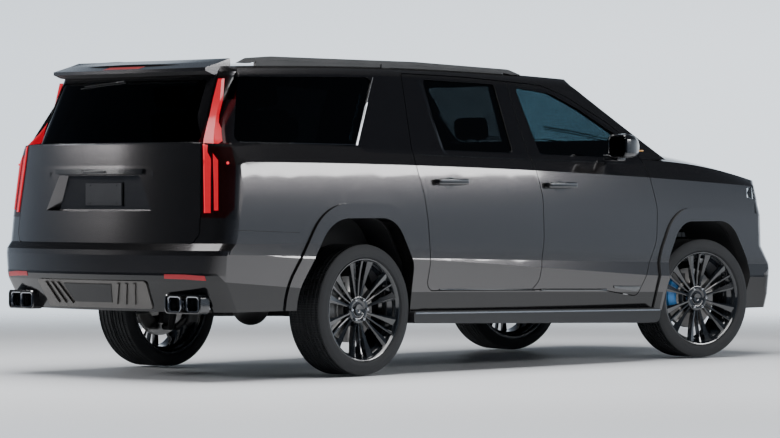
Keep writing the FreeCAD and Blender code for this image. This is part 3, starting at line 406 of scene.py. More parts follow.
def sharp_edges(bm, degrees):
    """Edges whose two faces turn by more than degrees."""
    return [edge for edge in bm.edges
            if len(edge.link_faces) == 2 and edge.calc_face_angle(0.0) > math.radians(degrees)]


def bm_object(name, bm, material, smooth=35.0):
    """Turns a bmesh into an object at the origin; edges sharper than smooth degrees stay crisp."""
    bmesh.ops.recalc_face_normals(bm, faces=bm.faces)
    for face in bm.faces:
        face.smooth = True
    for edge in sharp_edges(bm, smooth):
        edge.smooth = False
    mesh = bpy.data.meshes.new(name)
    bm.to_mesh(mesh)
    bm.free()
    mesh.materials.append(material)
    thing = bpy.data.objects.new(name, mesh)
    bpy.context.scene.collection.objects.link(thing)
    return thing


def piece(name, bm, material, body, slot=None, replaces=(), smooth=35.0):
    """A finished piece that rides on a body."""
    thing = bm_object(name, bm, material, smooth)
    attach(thing, body)
    if replaces:
        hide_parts(*replaces)
    return thing


def single(name, build, material, body="chassis", **more):
    """Builds a piece that the car has once."""
    bm = bmesh.new()
    build(bm)
    return piece(name, bm, material, body, **more)


def on_side(side, name, build, material, body="chassis", replaces=(), **more):
    """Builds a piece for the right side, or its mirror image for the left one."""
    bm = bmesh.new()
    build(bm)
    if side == "left":
        flip(bm)
    nodes = [node.format(side=side) for node in replaces]
    piece(f"{name}_{side}", bm, material, body.format(side=side), replaces=nodes, **more)


def on_both_sides(name, build, material, body="chassis", **more):
    """Builds a piece for the right side and its mirror image for the left one."""
    for side in SIDES:
        on_side(side, name, build, material, body, **more)


def flip(bm):
    """Moves everything to the other side of the middle plane, as a mirror image."""
    bmesh.ops.scale(bm, vec=(1, -1, 1), verts=bm.verts)
    bmesh.ops.reverse_faces(bm, faces=bm.faces)


def linked(verts, kind):
    """The link_edges or link_faces of some verts, each once and always in the same order."""
    return list(dict.fromkeys(item for vert in verts for item in getattr(vert, kind)))


def pull(bm, faces, along):
    """Sweeps faces along a vector into a closed solid."""
    swept = bmesh.ops.extrude_face_region(bm, geom=faces, use_keep_orig=True)
    moved = [item for item in swept["geom"] if isinstance(item, bmesh.types.BMVert)]
    bmesh.ops.translate(bm, verts=moved, vec=along)


def prism(bm, points, along):
    """Solid swept from the face through points."""
    pull(bm, [bm.faces.new([bm.verts.new(point) for point in points])], along)


def round_off(bm, edges, width, segments):
    """Bevels edges into arcs."""
    bmesh.ops.bevel(bm, geom=edges, offset=width, offset_type="OFFSET", affect="EDGES", segments=segments,
                    profile=0.5, material=-1, clamp_overlap=True)


def block(bm, low, high, bevel=0.0, segments=2):
    """Box between two corners, with rounded edges where it has a bevel."""
    low, high = Vector(low), Vector(high)
    made = bmesh.ops.create_cube(bm, size=1.0)["verts"]
    bmesh.ops.scale(bm, vec=high - low, verts=made)
    bmesh.ops.translate(bm, vec=(low + high) / 2, verts=made)
    if bevel:
        round_off(bm, linked(made, "link_edges"), bevel, segments)


def lathe(bm, profile, steps):
    """Ring about the Y axis from the (y, radius) corners of its section."""
    points = [bm.verts.new((0.0, y, radius)) for y, radius in profile]
    edges = [bm.edges.new(pair) for pair in zip(points, points[1:])]
    bmesh.ops.spin(bm, geom=points + edges, cent=(0, 0, 0), axis=(0, 1, 0), angle=math.tau, steps=steps,
                   use_merge=True)
    bmesh.ops.remove_doubles(bm, verts=bm.verts, dist=1e-6)


def repeated(bm, source, count, start=0.0):
    """Moves a bmesh into another one, as equally spaced copies round the Y axis."""
    mesh = bpy.data.meshes.new("copy")
    source.to_mesh(mesh)
    source.free()
    for index in range(count):
        before = len(bm.verts)
        bm.from_mesh(mesh)
        bm.verts.ensure_lookup_table()
        turn = Matrix.Rotation(start + math.tau * index / count, 4, "Y")
        bmesh.ops.transform(bm, matrix=turn, verts=bm.verts[before:])
    bpy.data.meshes.remove(mesh)


def join_loops(bm, loops):
    """Skins rings of verts one after the other and closes both ends."""
    for first, second in zip(loops, loops[1:]):
        for index in range(len(first)):
            after = (index + 1) % len(first)
            bm.faces.new((first[index], first[after], second[after], second[index]))
    bm.faces.new(loops[0][::-1])
    bm.faces.new(loops[-1])


def rounded_ring(half_y, half_z, radius, steps=5):
    """Corners (y, z) of a rounded rectangle about the origin."""
    points = []
    for corner in range(4):
        centre_y = (half_y - radius) * (1 if corner in (0, 3) else -1)
        centre_z = (half_z - radius) * (1 if corner in (0, 1) else -1)
        for step in range(steps + 1):
            angle = (corner + step / steps) * math.pi / 2
            points.append((centre_y + radius * math.cos(angle), centre_z + radius * math.sin(angle)))
    return points


def sleeve(bm, rings, closed=True):
    """Skin through rings of equally many points; closed joins the last ring to the first."""
    loops = []
    for ring in rings:
        verts = [bm.verts.new(point) for point in ring]
        loops.append([bm.edges.new(pair) for pair in zip(verts, verts[1:] + verts[:1])])
    for one, other in zip(loops, loops[1:] + loops[:1] if closed else loops[1:]):
        bmesh.ops.bridge_loops(bm, edges=one + other)


def close_ends(bm):
    """Fills the open ends of a sleeve and turns its faces outwards."""
    bmesh.ops.holes_fill(bm, edges=[edge for edge in bm.edges if edge.is_boundary], sides=0)
    bmesh.ops.recalc_face_normals(bm, faces=bm.faces)


# Rays onto the solids

# Rays that meet the right side, the tail, the nose and the top, and where lines off the first three lie
SIDE_RAY, TAIL_RAY, NOSE_RAY, DOWN_RAY = (0, 1, 0), (1, 0, 0), (-1, 0, 0), (0, 0, -1)
BESIDE_Y, BEHIND_X, AHEAD_X = -1.0, -2.8, 2.9

# A ray starts APPROACH before its point, and what it meets more than DEEPEST past the point is no skin
APPROACH, DEEPEST = 1.2, 0.45


@cache
def tree(node):
    """Ray tree of a CAD node's surface."""
    mesh = NODES[node].data
    return BVHTree.FromPolygons([vertex.co for vertex in mesh.vertices],
                                [polygon.vertices for polygon in mesh.polygons])


def hit(node, start, direction):
    """First point of a CAD node on a ray, or None."""
    return tree(node).ray_cast(Vector(start), Vector(direction).normalized())[0]


def side_skin(node, x, z):
    """Y of a node's outer skin on the right side, at a station and height."""
    return hit(node, (x, BESIDE_Y - APPROACH, z), SIDE_RAY).y


def dropped(nodes, point, ray, depth=0.0):
    """Where a ray through a point first meets the nodes; past their edges, the point moved by depth."""
    ray = Vector(ray)
    start = Vector(point) - ray * APPROACH
    hits = [found for found in (hit(node, start, ray) for node in nodes) if found is not None]
    near = [found for found in hits if (found - start).length < APPROACH + DEEPEST]
    return min(near, key=lambda found: (found - start).length) if near else Vector(point) + ray * depth


def along_line(points, share):
    """Point at a share of a line of points, by the number of its corners."""
    place = share * (len(points) - 1)
    index = min(int(place), len(points) - 2)
    return Vector(points[index]).lerp(Vector(points[index + 1]), place - index)


def laid_strip(bm, nodes, first, second, ray, lift, sink, steps, crown=0.0):
    """Closed strip between two lines of points, dropped onto the skin.

    It stands proud of the skin by lift and reaches sink into it; steps are its faces along and across,
    and crown is how far its middle bulges.
    """
    ray = Vector(ray).normalized()
    verts = bmesh.ops.create_grid(bm, x_segments=steps[0], y_segments=steps[1], size=0.5)["verts"]
    depth = 0.0
    for vert in verts:
        along, across = vert.co.x + 0.5, vert.co.y + 0.5
        wanted = along_line(first, along).lerp(along_line(second, along), across)
        bulge = crown * math.sin(math.pi * across) * min(1.0, 6 * along, 6 * (1 - along))
        spot = dropped(nodes, wanted, ray, depth)
        depth = (spot - wanted).dot(ray)
        vert.co = spot - ray * (lift + bulge)
    pull(bm, linked(verts, "link_faces"), ray * (lift + sink))


def side_line(*corners):
    """Points beside the right side of the car at (x, z)."""
    return [(x, BESIDE_Y, z) for x, z in corners]


def tail_line(*corners):
    """Points behind the car at (y, z)."""
    return [(BEHIND_X, y, z) for y, z in corners]


def nose_line(*corners):
    """Points ahead of the car at (y, z)."""
    return [(AHEAD_X, y, z) for y, z in corners]


# Sizes and colours that a user would change

class SuvLooks(bpy.types.PropertyGroup):
    """Colours and finishes of the whole car."""

    paint: FloatVectorProperty(name="Paint", description="Colour of the body", subtype="COLOR", size=3,
                               min=0, max=1, default=(0.060, 0.057, 0.058))
    paint_metal: FloatProperty(name="Metal", description="How metallic the paint is", min=0, max=1,
                               default=0.9)
    paint_rough: FloatProperty(name="Roughness", description="How soft the paint's reflections are", min=0,
                               max=1, default=0.22)
    caliper: FloatVectorProperty(name="Calipers", description="Colour of the front brake calipers",
                                 subtype="COLOR", size=3, min=0, max=1, default=(0.02, 0.19, 0.50))
    tail_red: FloatVectorProperty(name="Tail lamps", description="Colour of the tail light bars",
                                  subtype="COLOR", size=3, min=0, max=1, default=(1.0, 0.004, 0.028))
    tail_glow: FloatProperty(name="Tail glow", description="How brightly the tail light bars shine", min=0,
                             max=10, default=0.62)
    front_glow: FloatProperty(name="Running light glow", description="How brightly the running lights shine",
                              min=0, max=10, default=3.0)


class SuvWheels(bpy.types.PropertyGroup):
    """Sizes of the wheels and tyres."""

    groups: IntProperty(name="Spoke groups", description="Groups of two flared spokes and a thin one", min=3,
                        max=9, default=6)
    flare_angle: FloatProperty(name="Flared spoke angle", subtype="ANGLE", default=math.radians(15.0),
                               description="From a group's middle to its flared spoke")
    flare_width: FloatProperty(name="Flared spoke width", description="Width at the rim", unit="LENGTH",
                               default=0.058)
    root_width: FloatProperty(name="Root width", description="Width of a flared spoke at the hub",
                              unit="LENGTH", default=0.015)
    thin_width: FloatProperty(name="Thin spoke width", description="Width of the thin spoke at the rim",
                              unit="LENGTH", default=0.019)
    rim_radius: FloatProperty(name="Rim radius", description="Radius of the rim's outer lip", unit="LENGTH",
                              default=0.3225)
    hub_radius: FloatProperty(name="Hub radius", description="Radius where the spokes start", unit="LENGTH",
                              default=0.088)
    nut_circle: FloatProperty(name="Nut circle", description="Radius of the circle of wheel nuts",
                              unit="LENGTH", default=0.0698)
    nuts: IntProperty(name="Nuts", description="Wheel nuts on each wheel", min=4, max=8, default=6)
    tread_blocks: IntProperty(name="Tread blocks", description="Blocks round each rib of the tread", min=24,
                              max=120, default=80)
    groove_depth: FloatProperty(name="Groove depth", description="Depth of the tread's grooves",
                                unit="LENGTH", default=0.007)


class SuvTrim(bpy.types.PropertyGroup):
    """Sizes of the trim."""

    plate_width: FloatProperty(name="Plate width", description="Width of the blank plate", unit="LENGTH",
                               default=0.326)
    plate_height: FloatProperty(name="Plate height", description="Height of the blank plate", unit="LENGTH",
                                default=0.138)
    tip_width: FloatProperty(name="Tip width", description="Width of an exhaust tip", unit="LENGTH",
                             default=0.116)
    tip_height: FloatProperty(name="Tip height", description="Height of an exhaust tip", unit="LENGTH",
                              default=0.098)
    skid_fins: IntProperty(name="Skid plate fins", description="Fins on each side of the skid plate's mesh",
                           min=1, max=4, default=3)
    handle_length: FloatProperty(name="Handle length", description="Length of a door handle", unit="LENGTH",
                                 default=0.280)
    handle_height: FloatProperty(name="Handle height", description="Height of a door handle", unit="LENGTH",
                                 default=0.038)
    tread_strips: IntProperty(name="Board strips", description="Rubber strips across each running board",
                              min=10, max=56, default=56)


class SuvCabin(bpy.types.PropertyGroup):
    """Sizes of the seats."""

    seat_width: FloatProperty(name="Front seat width", unit="LENGTH", default=0.50,
                              description="Width of a seat in the first two rows")
    third_row_width: FloatProperty(name="Third row seat width", unit="LENGTH", default=0.385,
                                   description="Width of a seat in the third row")
    back_height: FloatProperty(name="Backrest height", unit="LENGTH", default=0.735,
                               description="Height of a backrest without its headrest")
    recline: FloatProperty(name="Recline", description="How far the backrests lean back", subtype="ANGLE",
                           default=math.radians(9.0))


class SuvStudio(bpy.types.PropertyGroup):
    """Sizes of the studio."""

    floor_radius: FloatProperty(name="Floor radius", description="Radius of the floor", unit="LENGTH",
                                default=14.0)
    backdrop: FloatProperty(name="Backdrop", description="How bright the backdrop is", min=0, max=10,
                            default=1.9)
    focal_length: FloatProperty(name="Focal length", description="Focal length of the camera in millimetres",
                                unit="CAMERA", default=166.8)


# Wheels and brakes; their sections are lists of (y, radius), with the outer face towards +Y

TREAD_RIBS = (0.0, 0.019, 0.0235, 0.052, 0.0565, 0.086, 0.0905, 0.119)
TYRE_HALF_WIDTH = 0.1425
BLOCK_LEAST_WIDTH = 0.01
BLOCK_GAP = 0.0014
SPOKE_END = 0.304
SPOKE_FOOT = 0.012
DISC_RADIUS = 0.2045
CALIPER_INNER, CALIPER_OUTER = 0.150, 0.238
CALIPER_START, CALIPER_SWEEP, CALIPER_STEPS = -104, 50, 10


def stand(bm, end, side):
    """Moves a wheel part, built about the origin with its outer face along +Y, to its place on the car."""
    axle, steer = (FRONT_AXLE, STEER) if end == "front" else (REAR_AXLE, 0.0)
    sign = SIDES[side]
    if sign < 0:
        flip(bm)
    centre = Matrix.Translation((axle, sign * HALF_TRACK, TYRE_RADIUS))
    pivot = Vector((axle, sign * KINGPIN_Y, 0))
    turn = Matrix.Translation(pivot) @ Matrix.Rotation(steer, 4, "Z") @ Matrix.Translation(-pivot)
    bmesh.ops.transform(bm, matrix=turn @ centre, verts=bm.verts)


def tyre_mesh(sizes):
    """Low-profile tyre with ribbed tread blocks."""
    deep = TYRE_RADIUS - sizes.groove_depth
    wall = [(0.128, deep - 0.003), (0.1365, deep - 0.016), (0.1405, 0.372), (TYRE_HALF_WIDTH, 0.352),
            (0.1418, 0.3515), (0.1418, 0.349), (TYRE_HALF_WIDTH, 0.3485), (0.1412, 0.334), (0.1385, 0.3285),
            (0.1342, 0.3262), (0.1300, 0.3225), (0.1215, 0.3195), (0.1195, 0.306)]
    outer = [(y, deep) for y in TREAD_RIBS] + wall
    bm = bmesh.new()
    lathe(bm, [(-y, radius) for y, radius in reversed(outer[1:])] + outer, sizes.tread_blocks * 2)
    blocks = []
    for face in bm.faces:
        places = [vert.co.y for vert in face.verts]
        on_tread = all(abs(vert.co.xz.length - deep) < 1e-4 for vert in face.verts)
        wide = max(places) - min(places) > BLOCK_LEAST_WIDTH
        if on_tread and wide and abs(face.calc_center_median().y) < TREAD_RIBS[-1]:
            blocks.append(face)
    bmesh.ops.inset_individual(bm, faces=blocks, thickness=BLOCK_GAP, depth=sizes.groove_depth,
                               use_even_offset=True)
    return bm


def flared_spoke(sizes, sign):
    """One flared spoke of a group, a wedge with a crease down its face."""
    bm = bmesh.new()
    stations = [(sizes.hub_radius - SPOKE_FOOT, sizes.root_width, 0.080, 0.040), (0.150, 0.019, 0.086, 0.046),
                (0.215, 0.031, 0.097, 0.060), (0.272, 0.047, 0.110, 0.078),
                (SPOKE_END, sizes.flare_width, 0.119, 0.094)]
    loops = []
    for radius, width, face, back in stations:
        shoulder = face - 0.22 * width
        section = [(-width / 2, shoulder), (sign * 0.16 * width, face), (width / 2, shoulder),
                   (width / 2 * 0.72, back), (-width / 2 * 0.72, back)]
        loops.append([bm.verts.new((across, y, radius)) for across, y in section])
    join_loops(bm, loops)
    round_off(bm, sharp_edges(bm, 20), 0.0014, 2)
    turn = Matrix.Rotation(sign * sizes.flare_angle, 3, "Y")
    bmesh.ops.rotate(bm, cent=(0, 0, 0), matrix=turn, verts=bm.verts)
    return bm


def thin_spoke(sizes):
    """The thin spoke in the middle of a group."""
    bm = bmesh.new()
    stations = [(sizes.hub_radius - SPOKE_FOOT, 0.010, 0.078, 0.044), (0.16, 0.011, 0.084, 0.052),
                (0.25, 0.014, 0.100, 0.072), (SPOKE_END, sizes.thin_width, 0.116, 0.094)]
    loops = []
    for radius, width, face, back in stations:
        shoulder = face - 0.003
        section = [(-width / 2, shoulder), (-width / 4, face), (width / 4, face), (width / 2, shoulder),
                   (width / 2, back), (-width / 2, back)]
        loops.append([bm.verts.new((across, y, radius)) for across, y in section])
    join_loops(bm, loops)
    round_off(bm, sharp_edges(bm, 20), 0.0010, 2)
    return bm


def rim_mesh(sizes):
    """Barrel, outer lip and back of the rim, with the hub's face and the spokes."""
    bm = bmesh.new()
    lip = sizes.rim_radius
    lathe(bm, [(0.118, 0.3055), (0.1195, 0.3065), (0.121, lip - 0.003), (0.1245, lip), (0.1285, lip - 0.0015),
               (0.1305, lip - 0.006), (0.129, lip - 0.0115), (0.124, lip - 0.0145), (0.119, 0.3035),
               (0.104, 0.2985), (0.085, 0.2965), (0.060, 0.278), (0.0, 0.272), (-0.060, 0.278),
               (-0.085, 0.2965), (-0.118, 0.2985), (-0.130, 0.3105), (-0.1315, 0.3245), (-0.128, 0.3265),
               (-0.122, 0.3075), (-0.118, 0.3055), (-0.085, 0.3055), (-0.060, 0.286), (0.060, 0.286),
               (0.085, 0.3055), (0.118, 0.3055)], 144)
    hub = bmesh.new()
    lathe(hub, [(0.030, 0.060), (0.030, sizes.hub_radius - 0.002), (0.070, sizes.hub_radius),
                (0.079, sizes.hub_radius - 0.004), (0.0815, sizes.hub_radius - 0.012), (0.0805, 0.052),
                (0.0775, 0.047), (0.078, 0.041), (0.070, 0.039), (0.060, 0.040), (0.030, 0.060)], 96)
    repeated(bm, hub, 1)
    spokes = bmesh.new()
    for part in (flared_spoke(sizes, 1), flared_spoke(sizes, -1), thin_spoke(sizes)):
        repeated(spokes, part, 1)
    repeated(bm, spokes, sizes.groups)
    return bm


def nut_mesh(sizes):
    """Domed wheel nuts round the hub."""
    nut = bmesh.new()
    bmesh.ops.create_cone(nut, cap_ends=True, segments=6, radius1=0.0125, radius2=0.0115, depth=0.016)
    round_off(nut, sharp_edges(nut, 20), 0.0015, 2)
    dome = bmesh.new()
    bmesh.ops.create_uvsphere(dome, u_segments=16, v_segments=8, radius=0.0102)
    bmesh.ops.scale(dome, vec=(1, 1, 0.7), verts=dome.verts)
    bmesh.ops.translate(dome, vec=(0, 0, 0.0085), verts=dome.verts)
    repeated(nut, dome, 1)
    bmesh.ops.rotate(nut, cent=(0, 0, 0), matrix=Matrix.Rotation(math.radians(-90), 3, "X"), verts=nut.verts)
    bmesh.ops.translate(nut, vec=(0, 0.085, sizes.nut_circle), verts=nut.verts)
    nuts = bmesh.new()
    repeated(nuts, nut, sizes.nuts, math.radians(30))
    return nuts


def cap_mesh():
    """Plain centre cap with a rim."""
    bm = bmesh.new()
    lathe(bm, [(0.076, 0.0002), (0.0795, 0.006), (0.0835, 0.020), (0.0845, 0.031), (0.0885, 0.0335),
               (0.0885, 0.0365), (0.084, 0.0385), (0.072, 0.0385), (0.060, 0.0385), (0.060, 0.0002)], 64)
    bmesh.ops.holes_fill(bm, edges=[edge for edge in bm.edges if edge.is_boundary])
    return bm


def disc_mesh():
    """Brake disc with the vent's gap round its edge, and its hat."""
    bm = bmesh.new()
    edge = DISC_RADIUS
    lathe(bm, [(-0.036, 0.108), (-0.036, edge - 0.001), (-0.035, edge), (-0.024, edge),
               (-0.023, edge - 0.006), (-0.015, edge - 0.006), (-0.014, edge), (-0.003, edge),
               (-0.002, edge - 0.001), (-0.002, 0.108), (0.0, 0.104), (0.028, 0.088), (0.0295, 0.084),
               (0.0295, 0.045), (0.024, 0.045), (0.024, 0.082), (-0.010, 0.100), (-0.036, 0.108)], 120)
    return bm


def caliper_mesh():
    """Caliper that bridges the disc and tapers towards both ends."""
    bm = bmesh.new()
    inner, outer = CALIPER_INNER, CALIPER_OUTER
    loops = []
    for index in range(CALIPER_STEPS + 1):
        angle = math.radians(CALIPER_START + CALIPER_SWEEP * index / CALIPER_STEPS)
        taper = 1.0 - 0.16 * abs(2 * index / CALIPER_STEPS - 1) ** 3
        ring = [(-0.062, inner + 0.012), (-0.066, outer - 0.016), (-0.050, outer), (0.016, outer),
                (0.038, outer - 0.014 / taper), (0.041, inner + 0.028), (0.030, inner), (0.004, inner),
                (0.004, outer - 0.028), (-0.040, outer - 0.028), (-0.040, inner + 0.004)]
        loops.append([bm.verts.new((math.sin(angle) * radius * taper ** 0.3, y, math.cos(angle) * radius))
                      for y, radius in ring])
    join_loops(bm, loops)
    round_off(bm, sharp_edges(bm, 30), 0.003, 2)
    return bm


class SUV_OT_wheels(bpy.types.Operator):
    """Builds tyres, rims, nuts, caps, brake discs and calipers"""

    bl_idname = "suv.wheels"
    bl_label = "Wheels and brakes"

    def execute(self, context):
        sizes = context.scene.suv_wheels
        tread = rubber("tyre_rubber", (0.016, 0.017, 0.019))
        black = plastic("wheel_gloss_black", (0.010, 0.012, 0.015), 0.14, 420.0, 0.03, 1.0)
        bright = metal("nut_steel", (0.42, 0.44, 0.47), 0.22)
        steel = metal("disc_steel", (0.36, 0.35, 0.34), 0.34, 0.0, 220.0)
        blue = plastic("caliper_blue", tuple(looks().caliper), 0.28, 260.0, 0.10, 1.0)
        grey = metal("caliper_grey", (0.10, 0.10, 0.10), 0.45)
        for end, still, caliper in (("front", "steering_{side}", blue), ("rear", "chassis", grey)):
            for side in SIDES:
                turning = f"{end}_wheel_{side}"
                for name, bm, material, body, nodes in (
                        ("tyre_tread", tyre_mesh(sizes), tread, turning, (f"{end}_tyre_{side}",)),
                        ("rim", rim_mesh(sizes), black, turning, (f"{end}_wheel_{side}",)),
                        ("wheel_nuts", nut_mesh(sizes), bright, turning, ()),
                        ("centre_cap", cap_mesh(), black, turning, ()),
                        ("brake_disc", disc_mesh(), steel, turning, ()),
                        ("caliper", caliper_mesh(), caliper, still.format(side=side), ())):
                    stand(bm, end, side)
                    piece(f"{end}_{name}_{side}", bm, material, body, replaces=nodes, smooth=30.0)
        return {"FINISHED"}


# Tail lamps

# Light bar, ring by ring: its height, then (x, y) of its inner and of its outer edge
BAR_RINGS = ((1.015, -2.697, 0.832, -2.680, 0.884), (1.040, -2.697, 0.831, -2.680, 0.881),
             (1.200, -2.684, 0.812, -2.662, 0.868), (1.330, -2.674, 0.797, -2.650, 0.858),
             (1.421, -2.667, 0.787, -2.640, 0.850), (1.460, -2.640, 0.768, -2.612, 0.822),
             (1.500, -2.607, 0.747, -2.580, 0.795), (1.560, -2.565, 0.726, -2.535, 0.760),
             (1.603, -2.538, 0.716, -2.508, 0.742), (1.700, -2.504, 0.709, -2.472, 0.737),
             (1.825, -2.452, 0.700, -2.420, 0.732))
KINK_FOOT, KINK_TOP, KINK_BACK = 1.43, 1.59, -2.500
BAR_DEPTH = 0.030
MARKER_RAY = Vector((0.55, 0.83, 0))
STOP_LAMP_HALF_WIDTH = 0.16


def lamp_bar(bm, first, last, proud):
    """Bar up the lamp between two shares of its width, standing proud of it."""
    rings = []
    for z, inner_x, inner_y, outer_x, outer_y in BAR_RINGS:
        corners = []
        for share in (first, last):
            x, y = inner_x + (outer_x - inner_x) * share, inner_y + (outer_y - inner_y) * share
            skin = dropped(["tail_lamps"], (BEHIND_X, -y, z), TAIL_RAY, 0.35)
            corners.append((min(x, skin.x - 0.004) - proud, -y))
        (near_x, near_y), (far_x, far_y) = corners
        corner = 0.15 * (near_y - far_y)
        back = KINK_BACK if KINK_FOOT < z < KINK_TOP else far_x + BAR_DEPTH
        rings.append([(back, near_y, z), (near_x + corner, near_y, z), (near_x, near_y - corner, z),
                      (far_x, far_y + corner, z), (far_x + corner, far_y, z), (back, far_y, z)])
    sleeve(bm, rings, False)
    close_ends(bm)


class SUV_OT_tail_lamps(bpy.types.Operator):
    """Makes the glowing bars, the side markers, the reflectors and the high stop lamp of the tail"""

    bl_idname = "suv.tail_lamps"
    bl_label = "Tail lamps"

    def execute(self, context):
        glow = lens("tail_glow", (0.30, 0.004, 0.008), tuple(looks().tail_red), looks().tail_glow, 0.35)
        core = lens("tail_glow_core", (0.6, 0.02, 0.03), (1.0, 0.01, 0.035), 1.0, 0.2)
        # The rear reflectors are no lamps: their faint red emission is a painted glow.
        reflector_painted_glow = lens("reflector_red", (0.32, 0.002, 0.008), (0.9, 0.01, 0.03), 0.10, 0.5)
        unlit = lens("stop_lamp_red", (0.20, 0.01, 0.01), (1, 0.05, 0.03), 0.04, 0.4)
        on_both_sides("tail_light_bar", lambda bm: lamp_bar(bm, 0.0, 1.0, 0.0), glow, slot="lamp_red")
        on_both_sides("tail_light_core", lambda bm: lamp_bar(bm, 0.14, 0.26, 0.0025), core, slot="lamp_red")
        on_both_sides("tail_side_bar", self.side_bar, glow, slot="lamp_red")
        on_both_sides("tail_marker", self.marker, core, slot="lamp_red")
        on_both_sides("rear_reflector", self.reflector, reflector_painted_glow, slot="lamp_red")
        single("high_stop_lamp", self.stop_lamp, unlit, "tailgate", slot="lamp_red")
        return {"FINISHED"}

    @staticmethod
    def side_bar(bm):
        """Glowing strip down the lamp's side face."""
        front = [(-2.655, -0.868, 1.372), (-2.664, -0.885, 1.200), (-2.676, -0.900, 1.030)]
        back = [(-2.634, -0.892, 1.331), (-2.645, -0.905, 1.190), (-2.659, -0.920, 1.030)]
        laid_strip(bm, ["tail_lamps"], front, back, (0.7, 0.7, 0), 0.004, 0.004, (16, 2), 0.002)

    @staticmethod
    def marker(bm):
        """Small round lamp at the bar's kink."""
        centre = dropped(["tail_lamps"], (-2.60, -0.94, 1.313), MARKER_RAY) - MARKER_RAY * 0.002
        bmesh.ops.create_icosphere(bm, subdivisions=2, radius=0.009)
        bmesh.ops.translate(bm, vec=centre, verts=bm.verts)

    @staticmethod
    def reflector(bm):
        """Low reflector strip in the bumper, whose faint red glow is a painted glow."""
        foot = tail_line((-0.618, 0.622), (-0.750, 0.619), (-0.890, 0.612))
        top = tail_line((-0.622, 0.648), (-0.750, 0.648), (-0.885, 0.640))
        laid_strip(bm, ["rear_bumper"], foot, top, TAIL_RAY, 0.003, 0.004, (24, 2))

    @staticmethod
    def stop_lamp(bm):
        """Unlit strip under the spoiler's edge."""
        foot, top = (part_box("roof_spoiler")[1].z - drop for drop in (0.060, 0.044))
        half = STOP_LAMP_HALF_WIDTH
        laid_strip(bm, ["roof_spoiler"], tail_line((-half, foot), (half, foot)),
                   tail_line((-half, top), (half, top)), TAIL_RAY, 0.002, 0.004, (24, 1))


# Tail trim

PLATE_X, PLATE_Z = -2.7445, 1.126
PLATE_THICKNESS = 0.004
SCREW_FROM_SIDE, SCREW_FROM_EDGE, SCREW_RADIUS = 0.043, 0.015, 0.004
BUTTON_HALF_WIDTH = 0.100
FINS_TOP, FINS_FOOT = 0.585, 0.460
MOUTH_X, MOUTH_Y, MOUTH_SWEEP = -2.800, 0.6, 0.25
TIP_CENTRES, TIP_Z, TIP_CORNER = (0.668, 0.793), 0.469, 0.026
TIP_WALL, TIP_LENGTH = 0.012, 0.100
SURROUND_Y, SURROUND_Z, SURROUND_SWEEP = 0.7305, 0.4705, 0.12
GLASS_LINE_FOOT, GLASS_LINE_TOP, GLASS_LINE_HALF = 1.428, 1.436, 0.72


def trim_sizes():
    """Sizes of the trim."""
    return bpy.context.scene.suv_trim


def tip_mouth(tip_y):
    """Station of the mouth of an exhaust tip, which follows the bumper's sweep."""
    return MOUTH_X + (tip_y - MOUTH_Y) * MOUTH_SWEEP


